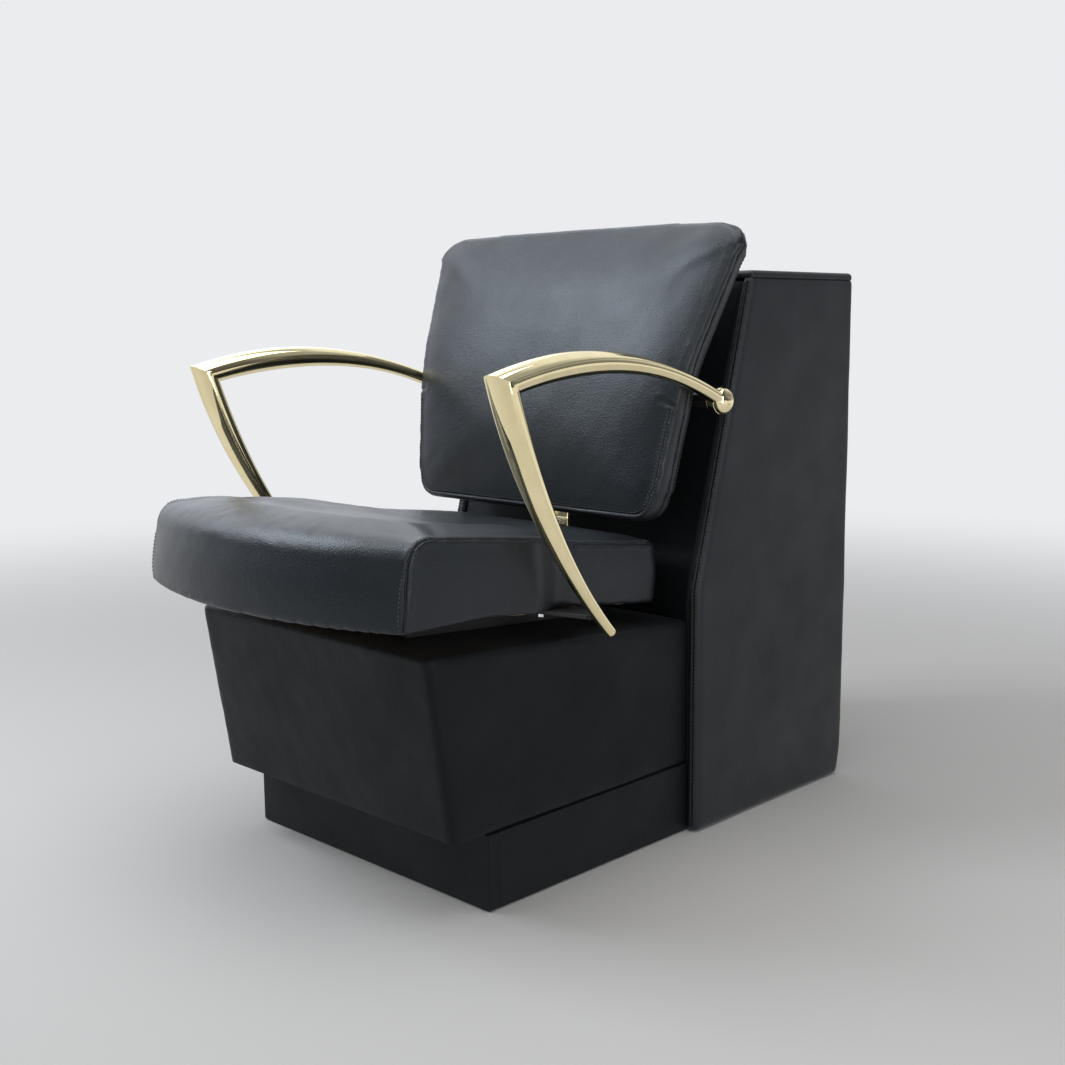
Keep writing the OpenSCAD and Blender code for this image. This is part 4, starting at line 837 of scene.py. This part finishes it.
def back_seam(d, w, low_to=None):
    """A line round the back, d in from its outline and w behind the front seam.

    With low_to it runs only below that length up the back, from the left to the right.
    """
    line = [back_point(x, v, w(v) if callable(w) else w) for x, v in BACK_OUT - d * BACK_NORMALS]
    if low_to is None:
        return line
    turn_h = back_place(low_to, 0)[1]
    low = [q for q, (_, v) in zip(line, BACK_OUT) if v < low_to]
    return sorted(low, key=lambda q: atan2(q[0], turn_h - q[2]))


def build_back():
    known, crown = [0, 0.25, 0.5, 0.7, 0.84, 0.94, 1], [1, 1, 0.98, 0.9, 0.74, 0.42, 0]
    rings = []
    for s in FRONT_SHARES:
        c = np.interp(s, known, crown)
        rings.append(back_ring(BACK_SEAM_R, s, lambda v: -BACK_CROWN * c))
    for a in np.radians((90, 60, 30, 0)):
        d = BACK_SEAM_R * (1 - cos(a))
        rings.append(back_ring(d, 1, lambda v: BACK_SEAM_R * (0.3 - sin(a))))
    for t, d in ((0.35, 0), (0.6, 0), (0.8, 0.05), (0.95, 0.2), (1, 0.5)):
        rings.append(back_ring(BACK_SEAM_R * d, 1, lambda v: edge_t(v) * t))
    for s in (1, 0.8, 0.6, 0.4, 0.2):
        rings.append(back_ring(BACK_BOARD_IN, s, edge_t, 0))
    tips = back_point(0, MID_V, edge_t(MID_V)), back_point(0, MID_V, -BACK_CROWN)
    back = ring_solid("back_skin", rings[::-1], *tips)
    remesh(back, 5.0)
    depth = back_measure(back)[2]
    inflate(back, smooth((-2 - depth) / 10), 3.5, pressure=1.6)
    round_front(back, 56.0)
    depth = back_measure(back)[2]
    relax(back, 0.5, 12, np.clip(smooth((12 - depth) / 10), 0.5, 1))
    push(back, lambda p, n: BACK_ROLL * np.exp(-(((depth + 2) / 12) ** 2)))
    thin_rim(back)
    # Below the arms the front panel is sewn on with a seam along the edge
    line = settle(resample(back_seam(8.0, SEAM_W, LOW_SEAM_V), 2.0), back)[0]
    refine(back, line, 15, 8, 4)
    groove(back, line, 1.9, 1.5, 0.3, 5.0)
    # A short pinch in the cover at each side, level with the bosses of the arms
    for side, v0, size in ((1, 172, 24), (-1, 180, 17)):
        x0 = back_half(v0) - 3
        fold = [back_point(side * (x0 - t), v0 + 0.35 * t, -3 - 0.5 * t) for t in np.linspace(0, size, 14)]
        groove(back, settle(fold, back)[0], 1.6, 3.2, 0.7, 6.5)
    rumple(back, 0, (0.45, 110, 9.0), (0.16, 36, 3.0))
    finish_piece(back, CUSHION, ["back_cushion"])
    rows = [back_seam(d, SEAM_W, LOW_STITCH_V) for d in (4.5, 11.5)]
    sew("back_stitches", rows, back)


build_back()


def board_w(v):
    return edge_t(v) + 2 * GAP


def rear_w(v):
    return board_w(v) + BACK_BOARD_T + 2 * GAP + REAR_T


def build_rear_cover():
    pocket, floor_t = BACK_BOARD_IN - GAP, BACK_BOARD_T + 2 * GAP
    rings = [back_ring(pocket, s, lambda v: board_w(v) + floor_t, 0) for s in (0.2, 0.4, 0.6, 0.8, 1)]
    rings.append(back_ring(pocket, 1, board_w, 0))
    rings.append(back_ring(REAR_IN, 1, lambda v: board_w(v) + 3 * GAP))
    known, rise = [0, 0.6, 0.75, 0.9, 0.97, 1], [1, 1, 1, 0.9, 0.7, 0.35]
    for s in REAR_SHARES:
        share = np.interp(s, known, rise) if s < 1 else 0.3
        wing = BACK_WING * max(0, (s - 0.97) / 0.03)
        rings.append(back_ring(REAR_IN, s, lambda v: mix(board_w(v), rear_w(v), share), wing))
    tips = back_point(0, MID_V, rear_w(MID_V)), back_point(0, MID_V, board_w(MID_V) + floor_t)
    cover = ring_solid("back_rear_skin", rings[::-1], *tips)
    rumple(cover, -0.35, (0.35, 120, 4.0))
    thin_rim(cover)
    finish_piece(cover, CUSHION, ["back_rear_cover"])
    line = resample(back_seam(REAR_IN + 9, lambda v: rear_w(v) - 4), 3.0, closed=True)
    row = settle(line, cover)[0]
    sew("back_rear_stitches", [np.vstack([row, row[:2]])], cover)


build_rear_cover()

# Dryer box

BORDER_DIP, LID_IN, HOLE_SIDES, HOLE_START = 4.0, 0.8, 24, 158.071 * RAD
SIDE_SHARES = [0.985, 0.965, 0.94, 0.91, 0.87, 0.83, 0.78, 0.72, 0.66]
SIDE_SHARES += [0.6, 0.53, 0.46, 0.39, 0.32, 0.25, 0.18, 0.11, 0.05]
LID_SHARES = [0.985, 0.96, 0.93, 0.89, 0.84, 0.78, 0.71, 0.63, 0.55, 0.47, 0.39, 0.31, 0.23, 0.15, 0.07]


def face_at(h):
    return BOX_Y + max(0, h - BOX_KNEE_H) * tan(BOX_LEAN)


def rounded(points, radii, steps=8):
    """The outline of a polygon with its corners rounded, anticlockwise."""
    out, n = [], len(points)
    for i in range(n):
        a, b, c = (np.array(points[k % n], float) for k in (i - 1, i, i + 1))
        d0, d1 = unit(a - b), unit(c - b)
        r = radii[i]
        ang = acos(max(-1, min(1, d0 @ d1)))
        if r <= 0 or ang > radians(178):
            out.append(tuple(b))
            continue
        t = r / tan(ang / 2)
        p0, p1 = b + d0 * t, b + d1 * t
        mid = b + unit(d0 + d1) * r / sin(ang / 2)
        a0 = atan2(*(p0 - mid)[::-1])
        a1 = atan2(*(p1 - mid)[::-1])
        da = (a1 - a0 + pi) % (2 * pi) - pi
        for k in range(steps + 1):
            a = a0 + da * k / steps
            out.append(tuple(mid + r * vec(cos(a), sin(a))))
    return out


def dense(points, step):
    """An outline with no side longer than step."""
    out, n = [], len(points)
    for i in range(n):
        a, b = np.array(points[i]), np.array(points[(i + 1) % n])
        k = max(1, int(ceil(np.linalg.norm(b - a) / step)))
        out += [tuple(mix(a, b, j / k)) for j in range(k)]
    return np.array(out)


def pad_rings(out, mid, roll, faces, walls, shares, place):
    """Rings of a pad, from the middle of its low face over its rolled rim to that of its high face.

    walls are the insets and heights of the rings between, and place puts a point at a height.
    """
    nrm = outline_normals(out)
    n = len(out)
    roll = np.broadcast_to(roll, n)

    def ring(inset, height):
        q = out - nrm * np.broadcast_to(inset, n)[:, None]
        return [place(p, h) for p, h in zip(q, np.broadcast_to(height, n))]

    def inner(share, height):
        return [place(p, height) for p in mid + (out - nrm * roll[:, None] - mid) * share]

    rings = [inner(s, faces[0]) for s in (0.3, 0.6, 0.9)] + [ring(*wall) for wall in walls]
    for a in np.radians(np.linspace(0, 90, 8)):
        rings.append(ring(roll * (1 - cos(a)), faces[1] - roll * (1 - sin(a))))
    return rings + [inner(s, faces[1]) for s in shares]


def build_box_side(sign):
    heel_r = bow_radius(HEEL_H, HEEL_IN)
    heel_a = degrees(asin(HEEL_H / heel_r))
    pts = [(BOX_Y, GLIDE_H), (REAR_Y - HEEL_IN, GLIDE_H)]
    pts += arc(REAR_Y - heel_r, GLIDE_H + HEEL_H, heel_r, -heel_a, 0, 6)[1:]
    pts += [(REAR_Y, SIDE_TOP), (face_at(SIDE_TOP), SIDE_TOP), (BOX_Y, BOX_KNEE_H)]
    radii = [3, 3] + [0] * 6 + [1.5, 1.5, 60]
    out = dense(rounded(pts, radii), 9)
    nrm = outline_normals(out)
    front = smooth((-nrm[:, 0] - 0.3) / 0.5)
    roll = mix(mix(SIDE_REAR_R * 0.8, 2.5, smooth((nrm[:, 1] - 0.5) / 0.4)), SIDE_ROLL_R, front)
    mid = vec((BOX_Y + REAR_Y) / 2 + 25, SIDE_TOP / 2)
    x_in, x_out = INNER_W / 2, BOX_W / 2
    walls = [(1.0, x_in), (0.0, x_in + 1.0)]
    walls += [(0.0, mix(x_in + 1, x_out - roll, t)) for t in (0.25, 0.6, 0.9)]
    rings = pad_rings(out, mid, roll, (x_in, x_out), walls, SIDE_SHARES, lambda q, x: (sign * x, *q))
    rings = [r[::sign] for r in rings]
    hand = "right" if sign > 0 else "left"
    side = ring_solid("box_side_skin_" + hand, rings, (sign * x_in, *mid), (sign * x_out, *mid))
    remesh(side, 5.0)
    relax(side, 0.5, 3)
    edge = [(sign * (x_out - 10), y, z) for y, z in out if y < face_at(z) + 0.5 and 6 < z < SIDE_TOP - 4]
    edge = resample(sorted(edge, key=lambda q: q[2]), 2.0)
    line = settle(edge, side)[0]
    refine(side, line, 9, 5)
    groove(side, line, 1.3, 1.6, 0.3, 4.0)
    flat = smooth(np.abs(normals(side.data)[:, 0]))
    rumple(side, -0.55, (0.5, 150, 1.0 + sign), (0.2, 50, 6.0), share=flat)
    finish_piece(side, BOX_HIDE, [f"box_{hand}_side"])
    sew("box_stitches_" + hand, [line + [sign * 3.5, 0, 0]], side)


build_box_side(1)
build_box_side(-1)


def build_box_front():
    """The front panel of the box: padded, bent once, and drawn in along its borders."""
    lean = vec(sin(BOX_LEAN), cos(BOX_LEAN))
    inset = BOX_FRONT_INSET / cos(BOX_LEAN)
    low = vec(BOX_Y + BOX_FRONT_INSET, GLIDE_H)
    knee = vec(BOX_Y + (BOX_FRONT_INSET + inset) / 2, BOX_KNEE_H)
    top = vec(face_at(SIDE_TOP) + inset, SIDE_TOP)
    soft = 30
    line = [low + (knee - low) * s for s in np.linspace(0, 1 - soft / np.linalg.norm(knee - low), 34)]
    a, b = line[-1], knee + lean * soft
    for t in np.linspace(0, 1, 8)[1:-1]:
        line.append((1 - t) ** 2 * a + 2 * t * (1 - t) * knee + t * t * b)
    line += [mix(b, top, s) for s in np.linspace(0, 1, 48)]
    line = np.array(line)
    t = unit(np.gradient(line, axis=0))
    out_dir = np.c_[-t[:, 1], t[:, 0]]
    length = np.r_[0, np.cumsum(np.linalg.norm(np.diff(line, axis=0), axis=1))]
    half = INNER_W / 2
    edge = half - vec(0, 0.6, 1.5, 3, 5, 8, 12)
    xs = [*-edge, *np.linspace(20 - half, half - 20, 50), *edge[::-1]]
    verts, faces = [], []
    for k, place in enumerate(line):
        for x in xs:
            d = min(half - abs(x), length[-1] - length[k])
            verts.append((x, *(place - out_dir[k] * BORDER_DIP * exp(-((d / 3.2) ** 2)))))
    n = len(xs)
    for k in range(len(line) - 1):
        for i in range(n - 1):
            a = k * n + i
            faces.append((a, a + 1, a + n + 1, a + n))
    front = new_mesh("box_front_skin", verts, faces)
    rumple(front, -0.4, (0.4, 120, 8.0))
    thicken(front, BOX_FRONT_T - 5)
    # The box front gets the darker base leather instead of the box's own leather: painted shade, for the shadow
    # the back cushion casts on it
    finish_piece(front, BASE_AND_SHADE_HIDE, ["box_front_lower", "box_front_upper"])


build_box_front()


def build_box_top():
    """The padded top panel, with the four holes for the foot of a hood."""
    y0 = face_at(SIDE_TOP)
    half = BOX_W / 2
    pts = [(-half, y0), (half, y0), (half, REAR_Y), (-half, REAR_Y)]
    out = dense(rounded(pts, [9] * 4, 7), 9)
    out = out - outline_normals(out) * LID_IN
    z0 = SIDE_TOP + 0.1
    mid = vec(0, (y0 + REAR_Y) / 2)
    lip = z0 - 1.6
    walls = (5.0, z0), (4.0, lip), (0.8, lip), (0.2, lip + 0.6), (0, lip + 1.6)
    rings = pad_rings(out, mid, BOX_TOP_R, (z0, BOX_H), walls, LID_SHARES, lambda q, z: (*q, z))
    top = ring_solid("box_top_skin", rings, (0, mid[1], z0), (0, mid[1], BOX_H))
    push(top, lambda p, n: -0.4 * smooth(n[:, 2]))
    holes = []
    low, high, rim = SIDE_TOP - 5, BOX_H + 5, HOOD_HOLE_D / 2 * circle(HOLE_SIDES, HOLE_START)
    for sx, sy in ((-1, -1), (-1, 1), (1, -1), (1, 1)):
        c = vec(sx * HOOD_X, 2 * REAR_Y - BOX_TOP_D + sy * HOOD_Y) / 2
        rings = [[(*q, z) for q in c + rim] for z in (low, high)]
        holes.append(ring_solid("hole", rings, (*c, low), (*c, high)))
    cutter = join("hole_cutter", holes)
    modify(top, "BOOLEAN", operation="DIFFERENCE", solver="EXACT", object=cutter)
    bake(top)
    top.data.set_sharp_from_angle(angle=radians(50))
    bpy.data.objects.remove(cutter)
    finish_piece(top, BOX_HIDE, ["box_top"])


build_box_top()

# Base


def build_base():
    """The base cover in one piece over its front, sides and top, with soft corners."""
    half = INNER_W / 2
    top_rear = BASE_REAR_H + (BOX_Y - BASE_END_Y) * (BASE_FRONT_H - BASE_REAR_H) / BASE_D
    prof = [(BASE_FOOT_Y, PLINTH_H), (BASE_END_Y, PLINTH_H), (BASE_END_Y, top_rear), (BASE_Y, BASE_FRONT_H)]
    sides = [(i, (i + 1) % 4, (i + 1) % 4 + 4, i + 4) for i in range(4)]
    base = new_mesh(
        "base_skin", [(x, *q) for x in (-half, half) for q in prof], [(3, 2, 1, 0), (4, 5, 6, 7), *sides]
    )

    def is_soft(edge):
        """The front corners, and the edges round the top but for its rear one."""
        a, b = (v.co / MM for v in edge.verts)
        front = max(a.y, b.y) < BASE_FOOT_Y + 1 and abs(a.x - b.x) < 1
        return front or (min(a.z, b.z) > PLINTH_H + 20 and min(a.y, b.y) <= 0)

    with opened(base) as bm:
        bmesh.ops.recalc_face_normals(bm, faces=bm.faces)
        soft = [e for e in bm.edges if is_soft(e)]
        shape = dict(offset=BASE_R * MM, segments=6, profile=0.5, affect="EDGES", clamp_overlap=True)
        bmesh.ops.bevel(bm, geom=soft, **shape)
    remesh(base, 5.0)
    relax(base, 0.5, 6)
    with opened(base) as bm:
        mids = [(f, f.calc_center_median() / MM) for f in bm.faces]
        gone = [f for f, c in mids if c.z < PLINTH_H + 2.5 or c.y > BASE_END_Y - 2.5]
        bmesh.ops.delete(bm, geom=gone, context="FACES")
    near_low = coords(base.data)[:, 2] < PLINTH_H + 6
    rumple(base, -0.6, (0.55, 140, 3.0), (0.22, 45, 7.0))
    p = coords(base.data)
    p[near_low, 2] = np.maximum(p[near_low, 2], PLINTH_H)
    set_coords(base, p)
    thicken(base, BASE_T - 4)
    base.data.set_sharp_from_angle(angle=radians(50))
    covers = ["base_front", "base_right_side", "base_left_side", "base_top_panel"]
    finish_piece(base, BASE_AND_SHADE_HIDE, covers)


build_base()

# Arms


def left_of(d):
    return np.array([-d[1], d[0]])


def bow(a, b, s, t):
    """Point and direction at share t of an arc from a to b that bows by s to its left."""
    size = np.linalg.norm(b - a)
    r = bow_radius(size / 2, s)
    h = asin(size / 2 / r)
    u = (b - a) / size
    v = left_of(u)
    w = mix(-h, h, t)
    place = (a + b) / 2 + u * r * sin(w) + v * (r * cos(w) - r + s)
    return place, u * cos(w) - v * sin(w)


def upright_mid(h):
    low = back_place(BACK_CORNER_R, rear_w(BACK_CORNER_R) + GAP)
    high_v = (BACK_BEND_H - BOSS_DROP + 22 - BACK_LOW_H) / cos(LEAN_LOW * RAD)
    high = back_place(high_v, rear_w(high_v) + 2 * GAP)
    d = unit(high - low)
    return low + d * (h - low[1]) / d[1] + np.array([d[1], -d[0]]) * 4


BOSS_H = BACK_BEND_H - BOSS_DROP
BOSS = np.array([upright_mid(BOSS_H)[0] + BOSS_BEHIND, BOSS_H])
TIP = vec(TIP_Y + FRONT_Y, TIP_H)
CORNER = vec(CORNER_Y + FRONT_Y, CORNER_H)
TUBE_SIDES, BOSS_ROUND_R, CAP_RISE = 64, 12.5, 1.6
# Thickness and width at the corner and the rear of an arm, and where each tapers along the top tube
FRONT_SIZE, REAR_SIZE = vec(FRONT_T, FRONT_W), vec(ARM_REAR_T, ARM_REAR_W)
TAPER_FROM, TAPER_LEN = vec(0.18, 0.12), vec(0.62, 0.7)


def splayed(p, sign):
    """A point of an arm turned about its boss, on the right or mirrored to the left."""
    x, y, z = p[0], p[1] - BOSS[0], p[2]
    c, s = cos(radians(SPLAY)), sin(radians(SPLAY))
    return (sign * (BOSS_X + x * c - y * s), BOSS[0] + x * s + y * c, z)


def build_arm(sign):
    mitre_in = bow(TIP, CORNER, POST_BOW, 1)[1]
    mitre_out = bow(CORNER, BOSS, ARM_RISE, 0)[1]
    e = unit(left_of(mitre_in) + left_of(mitre_out))
    stretch = 1 / (e @ left_of(mitre_out))
    ways = circle(TUBE_SIDES)
    rings = []

    def ring(p, e, size):
        """A ring about p. size is its thickness along e and its width across it."""
        return [splayed((across, *(p + e * along)), sign) for along, across in ways * size / 2][::sign]

    def post_size(t):
        return mix(TIP_T, FRONT_SIZE, smooth(mix(0.09, 1, t)))

    p0, d0 = bow(TIP, CORNER, POST_BOW, 0)
    t0 = post_size(0)[0]
    for a in np.radians((82, 70, 55, 40, 25, 12)):
        rings.append(ring(p0 - d0 * t0 / 2 * sin(a), left_of(d0), post_size(0) * cos(a)))
    for t in np.linspace(0, 1, 41)[:-1]:
        p, d = bow(TIP, CORNER, POST_BOW, t)
        rings.append(ring(p, left_of(d), post_size(t)))
    rings.append(ring(CORNER, e, FRONT_SIZE * [stretch, 1]))
    for t in np.linspace(0, 1, 61)[1:]:
        p, d = bow(CORNER, BOSS, ARM_RISE, t)
        rings.append(ring(p, left_of(d), mix(FRONT_SIZE, REAR_SIZE, smooth((t - TAPER_FROM) / TAPER_LEN))))
    end = p0 - d0 * t0 / 2
    side = "right" if sign > 0 else "left"
    arm = ring_solid("arm_skin_" + side, rings, splayed((0, *end), sign), splayed((0, *BOSS), sign), sharp=30)
    finish_piece(arm, GOLD, ["arm_" + side])
    # The boss: a turned piece with full edges and a shallow ring near its outer end
    r, x0, x1 = BOSS_D / 2, BOSS_X - BOSS_LEN / 2, BOSS_X + BOSS_LEN / 2
    mid_x, mid_r = x1 - BOSS_ROUND_R, r - BOSS_ROUND_R
    prof = [(x0, r - 4)]
    prof += [(x0 + 4 - 4 * cos(a), r - 4 + 4 * sin(a)) for a in np.radians((15, 40, 65, 90))]
    prof += [(mid_x - 1.6 + dx, r - dip) for dx, dip in ((-1.0, 0), (-0.5, 0.7), (0.5, 0.7), (1.0, 0))]
    for a in np.radians(np.linspace(0, 82, 12)):
        prof.append((mid_x + BOSS_ROUND_R * sin(a), mid_r + BOSS_ROUND_R * cos(a)))
    prof += [(x1 + CAP_RISE * (1 - (q / mid_r) ** 2), q) for q in (7, 5, 3, 1.5)]
    rings = [[(sign * x, *(BOSS + q * way)) for way in ways][::sign] for x, q in prof]
    tips = (sign * x0, *BOSS), (sign * (x1 + 1.65), *BOSS)
    boss = ring_solid("arm_boss_skin_" + side, rings, *tips, sharp=28)
    caps = ["arm_caps"] if sign > 0 else []
    finish_piece(boss, GOLD, ["arm_boss_" + side, *caps])


build_arm(1)
build_arm(-1)

# Stage, light and camera

PALE_FLOOR = (0.46, 0.45, 0.44, 1)
PALE_WALL = (0.83, 0.84, 0.86, 1)
FLOOR_SIZE, FADE_FROM, FADE_TO, FLOOR_GLOW = 60, 0.9, 4.0, 0.4
# What polished metal and leather reflect: brightness by height, and panels by the way they lie in
LEVELS = (
    *((0, 0.45), (0.18, 0.55), (0.32, 1), (0.36, 0.55), (0.42, 0.55), (0.46, 1)),
    *((0.78, 1), (0.84, 0.35), (0.92, 1)),
)
BRIGHT, WARM = (1.75, 1.82, 1.94), (1.25, 1.25, 1.2)
PANELS = (
    *((0.0, BRIGHT), (0.04, (1.5, 1.56, 1.66)), (0.09, (0.22, 0.23, 0.26)), (0.19, (0.15, 0.16, 0.18))),
    *((0.21, (0.09, 0.09, 0.1)), (0.26, 0.15), (0.29, WARM), (0.41, WARM), (0.44, (0.08, 0.08, 0.09))),
    *((0.57, (0.1, 0.1, 0.11)), (0.6, (0.24, 0.25, 0.26)), (0.67, (0.3, 0.31, 0.33))),
    *((0.72, (0.68, 0.69, 0.72)), (0.84, (0.7, 0.72, 0.76)), (0.9, BRIGHT)),
)


def build_floor():
    """A plain pale floor that fades into the wall, and looks paler in what is glossy."""
    bpy.ops.mesh.primitive_plane_add(size=FLOOR_SIZE, location=(0, 0, 0))
    floor = bpy.context.object
    floor.name = "floor"
    s = Surface("floor_paper", **{"Base Color": PALE_FLOOR, "Roughness": 0.9, "Specular IOR Level": 0.1})
    glow = node(s.tree, "Emission", Color=PALE_WALL, Strength=1.0)
    far = node(s.tree, "VectorMath", operation="LENGTH")
    s.link(s.place, far.inputs[0])
    fade = map_range(s.tree, far.outputs["Value"], FADE_FROM, FADE_TO, interpolation_type="SMOOTHSTEP")
    rays = node(s.tree, "LightPath").outputs
    share = calc(s.tree, "MAXIMUM", fade, calc(s.tree, "MULTIPLY", rays["Is Glossy Ray"], FLOOR_GLOW))
    blend = wire(node(s.tree, "MixShader"), share, s.shader.outputs[0], glow.outputs[0])
    s.link(blend, s.out.inputs[0])
    floor.data.materials.append(s.mat)


def build_world():
    """The camera sees a plain wall, metal and leather a studio with panels, the rest soft light."""
    world = bpy.data.worlds.new("studio")
    bpy.context.scene.world = world
    world.use_nodes = True
    tree = world.node_tree
    tree.nodes.clear()
    rays = node(tree, "LightPath").outputs
    seen = calc(tree, "MAXIMUM", rays["Is Camera Ray"], rays["Is Transmission Ray"])
    wall = node(tree, "Background", Color=PALE_WALL, Strength=1.0)
    soft = node(tree, "Background", Color=(0.95, 0.97, 1, 1), Strength=0.5)
    split = node(tree, "SeparateXYZ")
    tree.links.new(node(tree, "TexCoord").outputs["Generated"], split.inputs[0])
    level = ramp(tree, split.outputs["Z"], LEVELS)
    turn = calc(tree, "ARCTAN2", split.outputs["Y"], split.outputs["X"])
    panels = ramp(tree, map_range(tree, turn, -pi, pi), PANELS)
    both = node(tree, "Mix", data_type="RGBA", blend_type="MULTIPLY")
    both.inputs["Factor"].default_value = 1.0
    tree.links.new(level, both.inputs[6])
    tree.links.new(panels, both.inputs[7])
    room = node(tree, "Background", Strength=1.35)
    tree.links.new(both.outputs[2], room.inputs["Color"])
    mixed = wire(node(tree, "MixShader"), rays["Is Glossy Ray"], soft.outputs[0], room.outputs[0])
    light = wire(node(tree, "MixShader"), seen, mixed, wall.outputs[0])
    tree.links.new(light, node(tree, "OutputWorld").inputs[0])


def area_light(name, place, target, size, power, tint=(1, 1, 1)):
    data = bpy.data.lights.new(name, "AREA")
    data.shape = "RECTANGLE"
    data.size, data.size_y = size
    data.energy = power
    data.color = tint
    obj = add(name, data)
    obj.location = place
    obj.rotation_euler = (Vector(target) - Vector(place)).to_track_quat("-Z", "Y").to_euler()


build_floor()
build_world()
area_light("overhead", (0.2, -0.2, 3.0), (0, 0, 0.4), (2.4, 2.4), 42)
area_light("left", (-1.4, -1.5, 2.15), (0, 0, 0.6), (1.0, 1.7), 46, (0.88, 0.94, 1.0))
area_light("window", (-1.5, -1.0, 2.3), (0.18, 0.11, 0.84), (0.35, 0.5), 7, (0.86, 0.93, 1.0))
area_light("right", (2.9, -0.2, 0.95), (0, 0, 0.6), (0.8, 1.8), 20)


# The photograph's camera: yaw, pitch and roll in degrees, place in metres, focal length in pixels
CAMERA_TURN, CAMERA_PLACE = (44.544, -8.655, -0.457), (1.5554, -1.5327, 0.7935)
FOCAL_PX, PHOTO_PX, SENSOR = 1384.6, 1065, 36


def build_camera():
    yaw, pitch, roll = (radians(a) for a in CAMERA_TURN)
    data = bpy.data.cameras.new("camera")
    data.sensor_width = SENSOR
    data.lens = SENSOR * FOCAL_PX / PHOTO_PX
    cam = add("camera", data)
    cam.matrix_world = Matrix.Translation(CAMERA_PLACE)
    for angle, axis in ((yaw, "Z"), (pi / 2 + pitch, "X"), (roll, "Z")):
        cam.matrix_world @= Matrix.Rotation(angle, 4, axis)
    bpy.context.scene.camera = cam


build_camera()
bpy.context.scene.view_settings.view_transform = "Standard"
